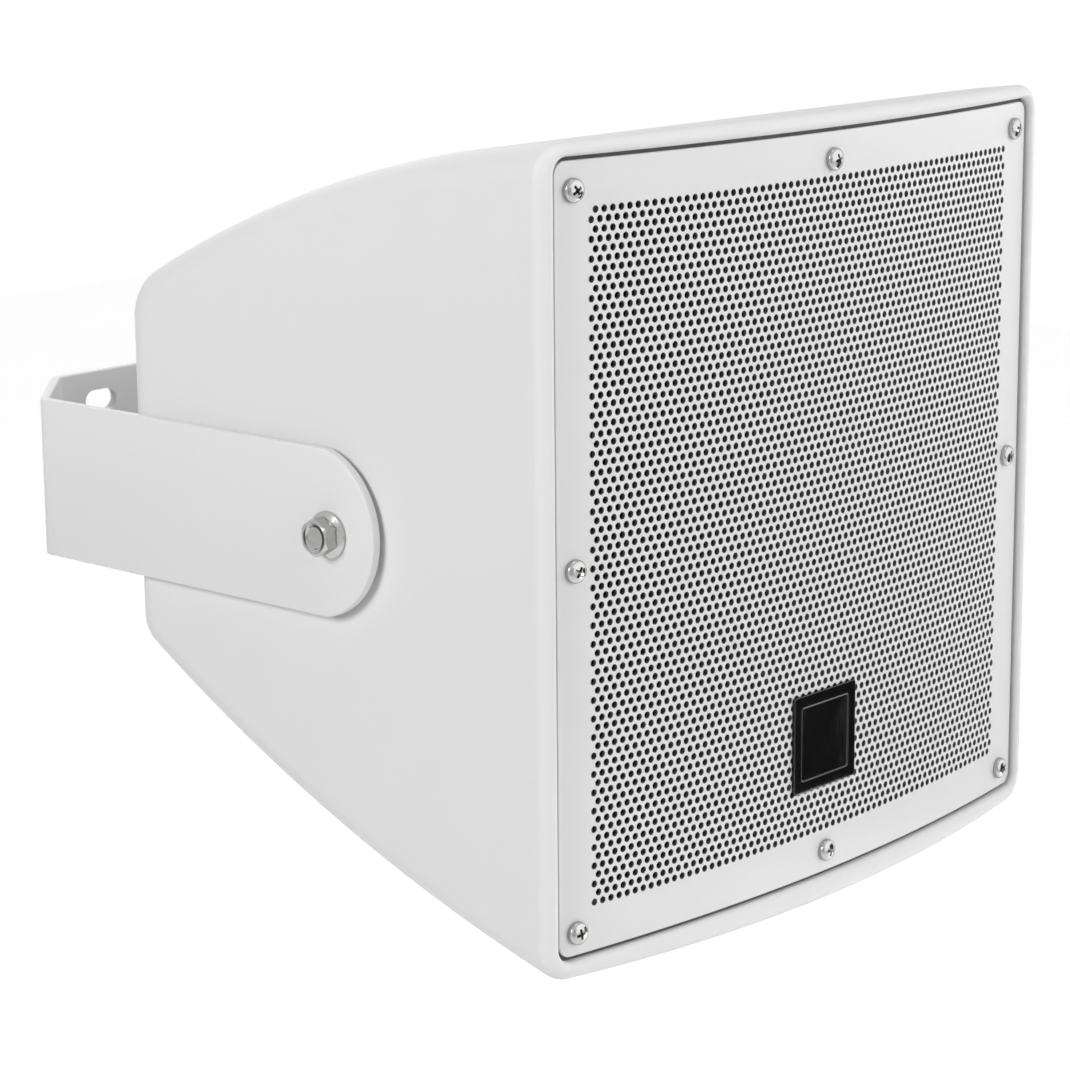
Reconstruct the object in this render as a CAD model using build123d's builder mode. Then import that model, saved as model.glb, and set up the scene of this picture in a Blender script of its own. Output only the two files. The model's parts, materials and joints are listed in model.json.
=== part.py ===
from build123d import *
import os
from math import asin, cos, sin, sqrt

# Outdoor speaker: a moulded cabinet that tilts in a U-shaped strap bracket.
# Millimetres, +Z up. The front faces -Y and the wall is the plane Y = 0.
# The origin is the middle of the bracket's back, on its wall side, level with the pivot axis.

# Bracket and pivot
rear_room = 81.0  # cabinet's rear wall to the wall behind it
strap_w = 64.0
strap_t = 4.0
strap_bend_r = 3.0  # inside radius of the bends
corner_cut = 36.0  # side of each cut corner, seen from above
arm_nose = 23.0  # arm's end ahead of the pivot
arm_end_flat = 1.0  # radius of the arm's end beyond half the strap
slot_w = 9.0
slot_l = 17.0
slot_span = 200.0  # between slots, across
slot_rise = 39.0  # between slots, up
bolt_r = 4.0
bolt_fit = 0.08  # radial room of the bolt in the arm
bolt_flange_r = 9.0
bolt_flange_t = 1.8
bolt_hex = 13.0  # across flats
bolt_head_h = 8.0
bolt_dish_r = 4.2
bolt_dish = 0.8
clamp_gap = 0.05  # between the arm and what clamps it
washer_r = 12.0
washer_t = 2.0
insert_r = 6.5
insert_l = 20.0
thread_gap = 0.05  # radial room around screws and inserts in their holes
boss_wall = 6.0  # plastic around a pivot insert

# Grille: a perforated sheet bowed forward about an upright axis
face_ahead = 111.9  # grille's face ahead of the pivot
grille_drop = 1.75  # grille's centre below the pivot
plate_w = 289.0  # straight across the bow
plate_h = 289.0
plate_t = 1.5
plate_corner_r = 5.0
bow_r = 856.0
margin_side = 16.1  # unpierced sheet along the edges
margin_top = 16.7
pattern_shift = -1.65  # middle of the holes and screws to the right of the sheet's middle
hole_pitch = 24.0
hole_web = 7.0  # sheet left between two holes
foam_t = 5.0
foam_gap = 0.5
badge_w = 39.0
badge_t = 1.0
badge_edge = 0.4
badge_frame = 4.5  # raised border of the badge
badge_sink = 0.4
badge_shift = -3.6  # badge's centre to the right of the sheet's middle
badge_rise = 54.8  # badge's centre above the sheet's lower edge
badge_room = 3.0  # unpierced sheet around the badge
screw_inset = 9.5  # grille screw to edge of sheet, before the pattern's shift
screw_drop = 0.8  # middle of the screws below the sheet's middle
screw_head_r = 4.4
screw_head_h = 3.2
screw_r = 2.4
screw_l = 16.0
screw_boss_r = 5.6
head_bevel = 1.3  # bevel round a screw head's top

# Cabinet
wall = 4.5
plate_gap = 1.5  # room around the grille in its recess
rim_side = 7.0
rim_top = 6.75
rim_bottom = 12.0
rim_ahead = 2.5  # rim ahead of the grille's face
rim_edge_r = 4.0
recess_r = 6.0
edge_r = 12.0
cabinet_depth = 233.4
top_arc_r = 560.0
bottom_arc_r = 740.0
rear_top = 81.5  # ends of the rear wall before rounding, above the pivot
rear_bottom = -59.0
rear_top_r = 22.0
rear_bottom_r = 16.0
front_trim = 5.0  # length ahead of the rim that the bow cuts away
ledge_spare = 0.4  # grille's seat beyond its screw bosses
baffle_ledge_w = 11.0
sleeve_r = 8.0

# Baffle
baffle_behind = 30.0  # baffle's face behind the grille's face
baffle_t = 12.0
baffle_gap = 0.5
baffle_gasket_t = 2.0
baffle_screw_inset = 5.0
baffle_screw_span = 120.0
baffle_screw_l = 24.0
baffle_boss_r = 5.0
inner_head_r = 3.9  # heads of the baffle's and the driver's screws

# Coaxial driver, measured backwards from the baffle's face
flange_r = 108.0
basket_t = 2.5
flange_w = 15.5  # flange outside the drum
cutout_gap = 1.0
drum_depth = 12.0
spider_seat_r = 70.0
spider_seat = 38.0
neck_r = 56.0
basket_depth = 52.0
window_count = 6
window_w = 44.0
driver_screws = 8
driver_screw_inset = 5.5  # driver screw to edge of flange
driver_screw_l = 14.0
surround_t = 1.0
surround_roll_r = 6.0
surround_land = 5.0  # glued flat on each side of the roll
gasket_t = 4.0
cone_t = 1.0
coil_r = 24.5
former_t = 0.5
winding_t = 1.2
winding_l = 14.0
neck_l = 3.0  # glued neck of the cone
neck_room = 0.3  # neck to spider
spider_t = 0.8
spider_waves = 5
spider_wave_h = 2.4
spider_lip = 2.0
glue_gap = 0.1
gap_room = 0.8  # coil to metal, each side
top_plate_r = 48.0
top_plate_t = 6.0
magnet_r = 58.0
magnet_t = 18.0
magnet_step = 5.0  # magnet's bore outside the bore of the top plate
yoke_t = 6.0
post_r = 5.0
post_head_r = 9.0
post_head_t = 3.0
tweeter_r = 21.0
tweeter_front = 2.0
tweeter_depth = 16.0
tweeter_wall = 2.0
dome_r = 13.0
dome_h = 5.0
dome_t = 0.8
dome_lip = 3.0

# Rear input plate, gland and crossover
input_w = 140.0
input_h = 84.0
input_t = 3.0
input_gasket_t = 2.0
input_rise = 7.0  # plate's centre above the pivot
input_lip = 10.0  # plate beyond the opening in the wall
input_screw_inset = 6.0
input_screw_head_r = 3.6
input_screw_head_h = 2.6
input_screw_r = 2.0
input_screw_l = 16.0
input_boss_r = 5.0
gland_inset = 18.0  # gland's axis to edge of the opening
gland_thread_r = 8.0
gland_bore_r = 5.5
gland_flats = 22.0
gland_hex_t = 6.0
gland_collar_l = 8.0
gland_cap_l = 16.0
gland_cap_mouth_r = 6.0
gland_cap_edge = 3.2
gland_seal_t = 2.0
gland_tail = 9.0
locknut_t = 4.0
board_w = 78.0
board_h = 54.0
board_t = 1.6
board_edge = 5.0  # board to edge of the opening
spacer_inset = 5.0
spacer_r = 3.5
spacer_l = 18.0
part_room = 3.0  # around each component on the board
coil_big_r = 15.0
coil_small_r = 10.0
coil_core_r = 5.0
coil_height = 14.0
cap_r = 7.0
cap_l = 24.0
resistor_w = 7.0
resistor_l = 22.0
block_w = 30.0
block_d = 11.0
block_h = 12.0

# Places worked out from the sizes above
rear_y = -rear_room
rim_y = rear_y - cabinet_depth
face_y = rim_y + rim_ahead
bow_y = face_y + bow_r
pivot_y = face_y + face_ahead
recess_w = plate_w + 2 * plate_gap
recess_h = plate_h + 2 * plate_gap
badge_drop = plate_h / 2 - badge_rise
front_w = recess_w + 2 * rim_side
side_x = front_w / 2
front_top = recess_h / 2 + rim_top - grille_drop
front_bottom = -recess_h / 2 - rim_bottom - grille_drop
ledge_w = plate_gap + screw_inset + abs(pattern_shift) + screw_boss_r + ledge_spare
sleeve_w = recess_w - 2 * ledge_w
sleeve_h = recess_h - 2 * ledge_w
baffle_y = face_y + baffle_behind
baffle_back = baffle_y + baffle_t
seat_y = baffle_back + baffle_gasket_t
sleeve_back = seat_y + wall
arm_in = side_x + washer_t + clamp_gap
arm_out = arm_in + strap_t
reach = front_w  # passes through anything that is cut
driver_axis = Axis((0, 0, -grille_drop), (0, 1, 0))


def facing(y, z=0.0, x=0.0):
    """Plane across the part at y that looks to the front, with its x to +X and its y up."""
    return Plane(origin=(x, y, z), x_dir=(1, 0, 0), z_dir=(0, -1, 0))


def driver_section():
    """Half section of the driver: x is the radius, y the depth behind the baffle's face."""
    return Plane(origin=(0, baffle_y, -grille_drop), x_dir=(1, 0, 0), z_dir=(0, 0, 1))


def on_bow(x, z):
    """Plane that lies on the grille's face at x and z and looks outwards."""
    lean = asin(x / bow_r)
    return Plane(
        origin=(x, bow_y - bow_r * cos(lean), z - grille_drop),
        x_dir=(cos(lean), sin(lean), 0),
        z_dir=(sin(lean), -cos(lean), 0),
    )


def bow_bar(radius):
    """Upright bar about the axis of the grille's bow, taller than the cabinet."""
    with BuildPart() as bar:
        with Locations((0, bow_y, 0)):
            Cylinder(radius, 2 * (front_top - front_bottom))
    return bar.part


def housing_form(inset, front_r):
    """Closed form of the cabinet, drawn in by inset, with a front bowed to front_r."""
    start = rim_y - front_trim
    with BuildPart() as form:
        with BuildSketch(Plane.YZ) as outline:
            with BuildLine():
                RadiusArc((start, front_top), (rear_y, rear_top), top_arc_r)
                Line((rear_y, rear_top), (rear_y, rear_bottom))
                RadiusArc((rear_y, rear_bottom), (start, front_bottom), bottom_arc_r)
                Line((start, front_bottom), (start, front_top))
            make_face()
            fillet(outline.vertices().group_by(Axis.X)[-1].sort_by(Axis.Y)[-1], rear_top_r)
            fillet(outline.vertices().group_by(Axis.X)[-1].sort_by(Axis.Y)[0], rear_bottom_r)
            offset(amount=-inset)
        extrude(amount=side_x - inset, both=True)
        long_edges = []
        for side in form.faces().filter_by(Axis.X):
            long_edges += side.edges().sort_by(Axis.Y)[1:]
        fillet(long_edges, edge_r - inset)
        add(bow_bar(front_r), mode=Mode.INTERSECT)
    return form.part


def pan_screw(head_r, head_h, shank_r, shank_l):
    """Pan-head screw with its seat at the origin and its head towards +Z."""
    with BuildPart() as screw:
        with BuildSketch(Plane.XY):
            Circle(head_r)
        extrude(amount=head_h)
        chamfer(screw.edges().group_by(Axis.Z)[-1], head_bevel)
        with BuildSketch(Plane.XY):
            Circle(shank_r)
        extrude(amount=-shank_l)
    return screw.part


def thin_section(points, thickness, side):
    """Closed strip along a line of points, thickened to one side."""
    with BuildSketch() as section:
        with BuildLine():
            path = Polyline(*points)
            offset(path, amount=thickness, side=side)
        make_face()
    return section.sketch


os.makedirs("parts", exist_ok=True)

# Bracket: strap bent round the back, arm ends rounded, slots for the wall
strap_outer = [
    (-arm_out, pivot_y - reach),
    (-arm_out, -corner_cut),
    (-arm_out + corner_cut, 0),
    (arm_out - corner_cut, 0),
    (arm_out, -corner_cut),
    (arm_out, pivot_y - reach),
]
bend = strap_bend_r + strap_t
with BuildPart() as bracket:
    with BuildSketch(Plane.XY.offset(-strap_w / 2)):
        with BuildLine():
            strap_line = FilletPolyline(*strap_outer, radius=bend)
            offset(strap_line, amount=strap_t, side=Side.RIGHT)
        make_face()
    extrude(amount=strap_w)
    with BuildSketch(Plane.YZ):
        arm_end_r = strap_w / 2 + arm_end_flat
        nose_y = pivot_y - arm_nose
        shoulder_y = nose_y + arm_end_r - sqrt(arm_end_r**2 - strap_w**2 / 4)
        with BuildLine():
            Polyline((shoulder_y, strap_w / 2), (0, strap_w / 2), (0, -strap_w / 2), (shoulder_y, -strap_w / 2))
            ThreePointArc((shoulder_y, -strap_w / 2), (nose_y, 0), (shoulder_y, strap_w / 2))
        make_face()
    extrude(amount=2 * arm_out, both=True, mode=Mode.INTERSECT)
    with BuildSketch(facing(0)):
        with GridLocations(slot_span, slot_rise, 2, 2):
            SlotOverall(slot_l, slot_w)
    extrude(amount=2 * strap_t, both=True, mode=Mode.SUBTRACT)
    with Locations(Plane(origin=(0, pivot_y, 0), z_dir=(1, 0, 0))):
        Cylinder(bolt_r + bolt_fit, 4 * arm_out, mode=Mode.SUBTRACT)
bracket.part.label = "bracket"
export_step(bracket.part, "parts/bracket.step")

# Pivot hardware: flange bolt, washer and moulded-in insert on each side
pivots = [Plane(origin=(side * side_x, pivot_y, 0), z_dir=(side, 0, 0)) for side in (-1, 1)]
bolt_seat = washer_t + strap_t + 2 * clamp_gap
with BuildPart() as bolt:
    with BuildSketch(Plane.XY.offset(bolt_seat)):
        Circle(bolt_flange_r)
    extrude(amount=bolt_flange_t)
    with BuildSketch(Plane.XY.offset(bolt_seat)):
        RegularPolygon(bolt_hex / 2, 6, major_radius=False)
    extrude(amount=bolt_head_h)
    with BuildSketch(Plane.XY.offset(bolt_seat + bolt_head_h)):
        Circle(bolt_dish_r)
    extrude(amount=-bolt_dish, mode=Mode.SUBTRACT)
    with BuildSketch(Plane.XY.offset(bolt_seat)):
        Circle(bolt_r)
    extrude(amount=-bolt_seat - insert_l)
with BuildPart() as bracket_bolts:
    with Locations(*pivots):
        add(bolt.part)
bracket_bolts.part.label = "bracket_bolts"
export_step(bracket_bolts.part, "parts/bracket_bolts.step")

with BuildPart() as pivot_washers:
    for pivot in pivots:
        with BuildSketch(pivot):
            Circle(washer_r)
            Circle(bolt_r + thread_gap, mode=Mode.SUBTRACT)
        extrude(amount=washer_t)
pivot_washers.part.label = "pivot_washers"
export_step(pivot_washers.part, "parts/pivot_washers.step")

with BuildPart() as pivot_inserts:
    for pivot in pivots:
        with BuildSketch(pivot):
            Circle(insert_r)
            Circle(bolt_r + thread_gap, mode=Mode.SUBTRACT)
        extrude(amount=-insert_l)
pivot_inserts.part.label = "pivot_inserts"
export_step(pivot_inserts.part, "parts/pivot_inserts.step")

# Places of the screws that several pieces share
edge_x = plate_w / 2 - screw_inset
edge_z = plate_h / 2 - screw_inset
grille_screw_places = [
    on_bow(x + pattern_shift, z - screw_drop)
    for x in (-edge_x, 0, edge_x)
    for z in (-edge_z, 0, edge_z)
    if x or z
]
baffle_w = sleeve_w - 2 * baffle_gap
baffle_h = sleeve_h - 2 * baffle_gap
long_x = baffle_w / 2 - baffle_screw_inset
long_z = baffle_h / 2 - baffle_screw_inset
half_span = baffle_screw_span / 2
baffle_screw_spots = [(x, z) for x in (-long_x, long_x) for z in (-half_span, half_span)]
baffle_screw_spots += [(x, z) for x in (-half_span, half_span) for z in (-long_z, long_z)]
input_spot = facing(rear_y, input_rise)
input_screw_x = input_w - 2 * input_screw_inset
input_screw_z = input_h - 2 * input_screw_inset
opening_w = input_w - 2 * input_lip
opening_h = input_h - 2 * input_lip
gland_x = opening_w / 2 - gland_inset

# Cabinet: one moulded skin that folds over the rim into the grille and baffle seats
outer_form = housing_form(0, bow_r + rim_ahead)
inner_form = housing_form(wall, bow_r - plate_t - wall)
with BuildPart() as recess:
    with BuildSketch(facing(rim_y, -grille_drop)):
        RectangleRounded(recess_w, recess_h, recess_r)
    extrude(amount=reach, both=True)
    add(bow_bar(bow_r - plate_t), mode=Mode.SUBTRACT)
with BuildPart() as sleeve:
    with BuildSketch(facing(sleeve_back, -grille_drop)):
        RectangleRounded(sleeve_w + 2 * wall, sleeve_h + 2 * wall, sleeve_r + wall)
    extrude(amount=sleeve_back - rim_y)
    add(bow_bar(bow_r - plate_t), mode=Mode.INTERSECT)
with BuildPart() as cabinet:
    add(outer_form)
    fillet(cabinet.faces().sort_by(Axis.Y)[0].edges(), rim_edge_r)
    add(inner_form, mode=Mode.SUBTRACT)
    add(sleeve.part)
    for place in grille_screw_places:
        with BuildSketch(place.offset(-plate_t)):
            Circle(screw_boss_r)
        extrude(amount=-screw_l)
    with BuildSketch(facing(seat_y, -grille_drop)):
        with Locations(*baffle_screw_spots):
            Circle(baffle_boss_r)
    extrude(amount=-baffle_screw_l + baffle_t)
    for pivot in pivots:
        with BuildSketch(pivot.offset(-wall)):
            Circle(insert_r + boss_wall)
        extrude(amount=wall - insert_l)
    with BuildSketch(input_spot):
        with GridLocations(input_screw_x, input_screw_z, 2, 2):
            Circle(input_boss_r)
    extrude(amount=input_screw_l)
    add(recess.part, mode=Mode.SUBTRACT)
    with BuildSketch(facing(seat_y, -grille_drop)):
        RectangleRounded(sleeve_w, sleeve_h, sleeve_r)
    extrude(amount=seat_y - rim_y, mode=Mode.SUBTRACT)
    with BuildSketch(facing(seat_y, -grille_drop)):
        RectangleRounded(sleeve_w - 2 * baffle_ledge_w, sleeve_h - 2 * baffle_ledge_w, sleeve_r)
    extrude(amount=-2 * wall, mode=Mode.SUBTRACT)
    for place in grille_screw_places:
        with BuildSketch(place):
            Circle(screw_r + thread_gap)
        extrude(amount=-screw_l, mode=Mode.SUBTRACT)
    with BuildSketch(facing(baffle_y, -grille_drop)):
        with Locations(*baffle_screw_spots):
            Circle(screw_r + thread_gap)
    extrude(amount=-baffle_screw_l, mode=Mode.SUBTRACT)
    for pivot in pivots:
        with BuildSketch(pivot):
            Circle(insert_r)
        extrude(amount=-insert_l, mode=Mode.SUBTRACT)
    with BuildSketch(input_spot):
        RectangleRounded(opening_w, opening_h, input_lip / 2)
        with GridLocations(input_screw_x, input_screw_z, 2, 2):
            Circle(input_screw_r + thread_gap)
    extrude(amount=input_screw_l, mode=Mode.SUBTRACT)
cabinet.part.label = "cabinet"
export_step(cabinet.part, "parts/cabinet.step")

# Grille: bowed sheet with rounded corners, staggered holes and screw holes
field_w = plate_w - 2 * margin_side
field_h = plate_h - 2 * margin_top
hole_flats = hole_pitch - hole_web
row_pitch = hole_pitch * sqrt(3) / 2
rows = int((field_h - hole_flats) / row_pitch) + 1
badge_clear = badge_w / 2 + badge_room
hole_spots = []
for row in range(rows):
    row_z = (row - (rows - 1) / 2) * row_pitch
    columns = int((field_w - hole_flats) / hole_pitch) + 1 - row % 2
    for column in range(columns):
        row_x = (column - (columns - 1) / 2) * hole_pitch + pattern_shift
        past_badge = abs(row_z + badge_drop) > badge_clear + hole_flats / 2
        if past_badge or abs(row_x - badge_shift) > badge_clear + hole_flats / 2:
            hole_spots.append((row_x, row_z))
with BuildPart() as grille:
    add(bow_bar(bow_r))
    add(bow_bar(bow_r - plate_t), mode=Mode.SUBTRACT)
    for place in grille_screw_places:
        with BuildSketch(place):
            Circle(screw_r + thread_gap)
        extrude(amount=2 * plate_t, both=True, mode=Mode.SUBTRACT)
    with BuildSketch(facing(face_y, -grille_drop)):
        RectangleRounded(plate_w, plate_h, plate_corner_r)
        with Locations(*hole_spots):
            RegularPolygon(hole_flats / 2, 6, major_radius=False, rotation=30, mode=Mode.SUBTRACT)
    extrude(amount=reach, both=True, mode=Mode.INTERSECT)
grille.part.label = "grille"
export_step(grille.part, "parts/grille.step")

# Foam: bowed sheet that backs the perforated area inside the cabinet's sleeve
with BuildPart() as grille_foam:
    add(bow_bar(bow_r - plate_t))
    add(bow_bar(bow_r - plate_t - foam_t), mode=Mode.SUBTRACT)
    with BuildSketch(facing(face_y, -grille_drop)):
        RectangleRounded(sleeve_w - 2 * foam_gap, sleeve_h - 2 * foam_gap, sleeve_r)
    extrude(amount=reach, both=True, mode=Mode.INTERSECT)
grille_foam.part.label = "grille_foam"
export_step(grille_foam.part, "parts/grille_foam.step")

grille_screw = pan_screw(screw_head_r, screw_head_h, screw_r, screw_l)
with BuildPart() as grille_screws:
    with Locations(*grille_screw_places):
        add(grille_screw)
grille_screws.part.label = "grille_screws"
export_step(grille_screws.part, "parts/grille_screws.step")

# Badge: bare square with a sunk middle, its back curved to the sheet
with BuildPart() as badge:
    with BuildSketch(facing(face_y - badge_t, -grille_drop - badge_drop, badge_shift)):
        Rectangle(badge_w, badge_w)
    extrude(amount=-badge_t - plate_t)
    chamfer(badge.faces().sort_by(Axis.Y)[0].edges(), badge_edge)
    with BuildSketch(facing(face_y - badge_t, -grille_drop - badge_drop, badge_shift)):
        Rectangle(badge_w - 2 * badge_frame, badge_w - 2 * badge_frame)
    extrude(amount=-badge_sink, mode=Mode.SUBTRACT)
    add(bow_bar(bow_r + glue_gap), mode=Mode.SUBTRACT)
badge.part.label = "badge"
export_step(badge.part, "parts/badge.step")

# Baffle, its gasket and its screws
basket_r = flange_r - flange_w
driver_screw_r = flange_r - driver_screw_inset
cutout_r = basket_r + cutout_gap
with BuildPart() as baffle:
    with BuildSketch(facing(baffle_y, -grille_drop)):
        RectangleRounded(baffle_w, baffle_h, sleeve_r)
        Circle(cutout_r, mode=Mode.SUBTRACT)
        with Locations(*baffle_screw_spots):
            Circle(screw_r + thread_gap, mode=Mode.SUBTRACT)
        with PolarLocations(driver_screw_r, driver_screws):
            Circle(screw_r + thread_gap, mode=Mode.SUBTRACT)
    extrude(amount=-baffle_t)
baffle.part.label = "baffle"
export_step(baffle.part, "parts/baffle.step")

with BuildPart() as baffle_gasket:
    with BuildSketch(facing(baffle_back, -grille_drop)):
        RectangleRounded(baffle_w, baffle_h, sleeve_r)
        RectangleRounded(
            sleeve_w - 2 * baffle_ledge_w, sleeve_h - 2 * baffle_ledge_w, sleeve_r, mode=Mode.SUBTRACT
        )
        with Locations(*baffle_screw_spots):
            Circle(screw_r + thread_gap, mode=Mode.SUBTRACT)
    extrude(amount=-baffle_gasket_t)
baffle_gasket.part.label = "baffle_gasket"
export_step(baffle_gasket.part, "parts/baffle_gasket.step")

baffle_screw = pan_screw(inner_head_r, screw_head_h, screw_r, baffle_screw_l)
with BuildPart() as baffle_screws:
    with Locations(*[facing(baffle_y, z - grille_drop, x) for x, z in baffle_screw_spots]):
        add(baffle_screw)
baffle_screws.part.label = "baffle_screws"
export_step(baffle_screws.part, "parts/baffle_screws.step")

# Driver frame: pressed basket with windows, screwed to the baffle's face
former_out = coil_r + former_t
winding_out = former_out + winding_t
plate_bore = winding_out + gap_room
magnet_bore = plate_bore + magnet_step
basket_points = [
    (flange_r, 0),
    (basket_r, 0),
    (basket_r, drum_depth),
    (spider_seat_r, spider_seat),
    (neck_r, spider_seat),
    (neck_r, basket_depth),
    (magnet_bore, basket_depth),
]
with BuildPart() as woofer_basket:
    with BuildSketch(driver_section()):
        add(thin_section(basket_points, basket_t, Side.LEFT))
    revolve(axis=driver_axis)
    slope_mid = (drum_depth + spider_seat) / 2
    window_h = (spider_seat - drum_depth) / 2
    for step in range(window_count):
        window = Plane(origin=(0, baffle_y + slope_mid, -grille_drop), z_dir=(1, 0, 0), x_dir=(0, 1, 0))
        with BuildSketch(window.rotated((step * 360 / window_count, 0, 0))):
            Rectangle(window_h, window_w)
        extrude(amount=flange_r, mode=Mode.SUBTRACT)
    with BuildSketch(facing(baffle_y, -grille_drop)):
        with PolarLocations(driver_screw_r, driver_screws):
            Circle(screw_r + thread_gap)
    extrude(amount=2 * basket_t, mode=Mode.SUBTRACT)
woofer_basket.part.label = "woofer_basket"
export_step(woofer_basket.part, "parts/woofer_basket.step")

driver_screw = pan_screw(inner_head_r, screw_head_h, screw_r, driver_screw_l)
with BuildPart() as woofer_screws:
    with Locations(facing(baffle_y - basket_t, -grille_drop)):
        with PolarLocations(driver_screw_r, driver_screws):
            add(driver_screw)
woofer_screws.part.label = "woofer_screws"
export_step(woofer_screws.part, "parts/woofer_screws.step")

# Surround: half roll glued to the flange's face and to the face of the cone's rim
roll_out = basket_r
roll_in = roll_out - 2 * surround_roll_r
roll_mid = (roll_out + roll_in) / 2
with BuildPart() as woofer_surround:
    with BuildSketch(driver_section()):
        with BuildLine():
            outer_land = Line((roll_out + surround_land, -basket_t), (roll_out, -basket_t))
            roll = ThreePointArc(
                (roll_out, -basket_t), (roll_mid, -basket_t - surround_roll_r), (roll_in, -basket_t)
            )
            inner_land = Line((roll_in, -basket_t), (roll_in - surround_land, -basket_t))
            offset(Wire([outer_land, roll, inner_land]), amount=surround_t, side=Side.LEFT)
        make_face()
    revolve(axis=driver_axis)
woofer_surround.part.label = "woofer_surround"
export_step(woofer_surround.part, "parts/woofer_surround.step")

with BuildPart() as woofer_gasket:
    with BuildSketch(facing(baffle_y - basket_t - surround_t, -grille_drop)):
        Circle(roll_out + surround_land)
        Circle(roll_out + 2 * surround_t, mode=Mode.SUBTRACT)
    extrude(amount=gasket_t)
woofer_gasket.part.label = "woofer_gasket"
export_step(woofer_gasket.part, "parts/woofer_gasket.step")

# Cone with a flat rim and a glued neck, on the voice coil's former
spider_y = spider_seat - basket_t
cone_neck = spider_y - spider_t - spider_wave_h - neck_room - neck_l
cone_points = [
    (roll_in, -basket_t),
    (roll_in - surround_land, -basket_t),
    (former_out, cone_neck),
    (former_out, cone_neck + neck_l),
]
with BuildPart() as woofer_cone:
    with BuildSketch(driver_section()):
        add(thin_section(cone_points, cone_t, Side.RIGHT))
    revolve(axis=driver_axis)
woofer_cone.part.label = "woofer_cone"
export_step(woofer_cone.part, "parts/woofer_cone.step")

coil_depth = basket_depth + (top_plate_t + winding_l) / 2
with BuildPart() as voice_coil:
    with BuildSketch(driver_section()):
        with BuildLine():
            Polyline(
                (coil_r, cone_neck),
                (former_out, cone_neck),
                (former_out, coil_depth - winding_l),
                (winding_out, coil_depth - winding_l),
                (winding_out, coil_depth),
                (coil_r, coil_depth),
                close=True,
            )
        make_face()
    revolve(axis=driver_axis)
voice_coil.part.label = "voice_coil"
export_step(voice_coil.part, "parts/voice_coil.step")

# Spider: corrugated disc from the basket's seat to the former
spider_in = former_out + glue_gap
spider_land = neck_r - basket_t
half_wave = (spider_land - spider_in - spider_lip) / (2 * spider_waves)
spider_points = [(spider_seat_r - basket_t, spider_y)]
for step in range(2 * spider_waves + 1):
    spider_points.append((spider_land - step * half_wave, spider_y - step % 2 * spider_wave_h))
spider_points.append((spider_in, spider_y))
with BuildPart() as woofer_spider:
    with BuildSketch(driver_section()):
        add(thin_section(spider_points, spider_t, Side.LEFT))
    revolve(axis=driver_axis)
woofer_spider.part.label = "woofer_spider"
export_step(woofer_spider.part, "parts/woofer_spider.step")

# Motor: top plate, ring magnet and yoke with its pole, stacked behind the basket
plate_back_y = baffle_y + basket_depth + top_plate_t
magnet_back_y = plate_back_y + magnet_t
yoke_back = basket_depth + top_plate_t + magnet_t + yoke_t
with BuildPart() as motor_top_plate:
    with BuildSketch(facing(plate_back_y, -grille_drop)):
        Circle(top_plate_r)
        Circle(plate_bore, mode=Mode.SUBTRACT)
    extrude(amount=top_plate_t)
motor_top_plate.part.label = "motor_top_plate"
export_step(motor_top_plate.part, "parts/motor_top_plate.step")

with BuildPart() as motor_magnet:
    with BuildSketch(facing(magnet_back_y, -grille_drop)):
        Circle(magnet_r)
        Circle(magnet_bore, mode=Mode.SUBTRACT)
    extrude(amount=magnet_t)
motor_magnet.part.label = "motor_magnet"
export_step(motor_magnet.part, "parts/motor_magnet.step")

with BuildPart() as motor_yoke:
    with BuildSketch(facing(magnet_back_y, -grille_drop)):
        Circle(top_plate_r)
    extrude(amount=-yoke_t)
    with BuildSketch(facing(magnet_back_y, -grille_drop)):
        Circle(coil_r - gap_room)
    extrude(amount=magnet_t + top_plate_t)
    with BuildSketch(facing(magnet_back_y, -grille_drop)):
        Circle(post_r + thread_gap)
    extrude(amount=2 * (magnet_t + top_plate_t + yoke_t), both=True, mode=Mode.SUBTRACT)
motor_yoke.part.label = "motor_yoke"
export_step(motor_yoke.part, "parts/motor_yoke.step")

# Tweeter on a post through the pole, ahead of the cone's neck
tweeter_back = tweeter_front + tweeter_depth
dome_seat = tweeter_front + dome_lip + dome_t
with BuildPart() as tweeter_post:
    with BuildSketch(facing(baffle_y + tweeter_back, -grille_drop)):
        Circle(post_r)
    extrude(amount=tweeter_back - yoke_back)
    with BuildSketch(facing(baffle_y + yoke_back, -grille_drop)):
        Circle(post_head_r)
    extrude(amount=-post_head_t)
tweeter_post.part.label = "tweeter_post"
export_step(tweeter_post.part, "parts/tweeter_post.step")

with BuildPart() as tweeter_housing:
    with BuildSketch(facing(baffle_y + tweeter_back, -grille_drop)):
        Circle(tweeter_r)
    extrude(amount=tweeter_depth)
    with BuildSketch(facing(baffle_y + tweeter_front, -grille_drop)):
        Circle(tweeter_r - tweeter_wall)
    extrude(amount=tweeter_front - dome_seat, mode=Mode.SUBTRACT)
    with BuildSketch(facing(baffle_y + dome_seat, -grille_drop)):
        Circle(tweeter_r - 2 * tweeter_wall)
    extrude(amount=dome_seat - tweeter_back + tweeter_wall, mode=Mode.SUBTRACT)
tweeter_housing.part.label = "tweeter_housing"
export_step(tweeter_housing.part, "parts/tweeter_housing.step")

with BuildPart() as tweeter_motor:
    with BuildSketch(facing(baffle_y + tweeter_back - tweeter_wall, -grille_drop)):
        Circle(dome_r)
    extrude(amount=tweeter_back - tweeter_wall - dome_seat - dome_t)
tweeter_motor.part.label = "tweeter_motor"
export_step(tweeter_motor.part, "parts/tweeter_motor.step")

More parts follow.
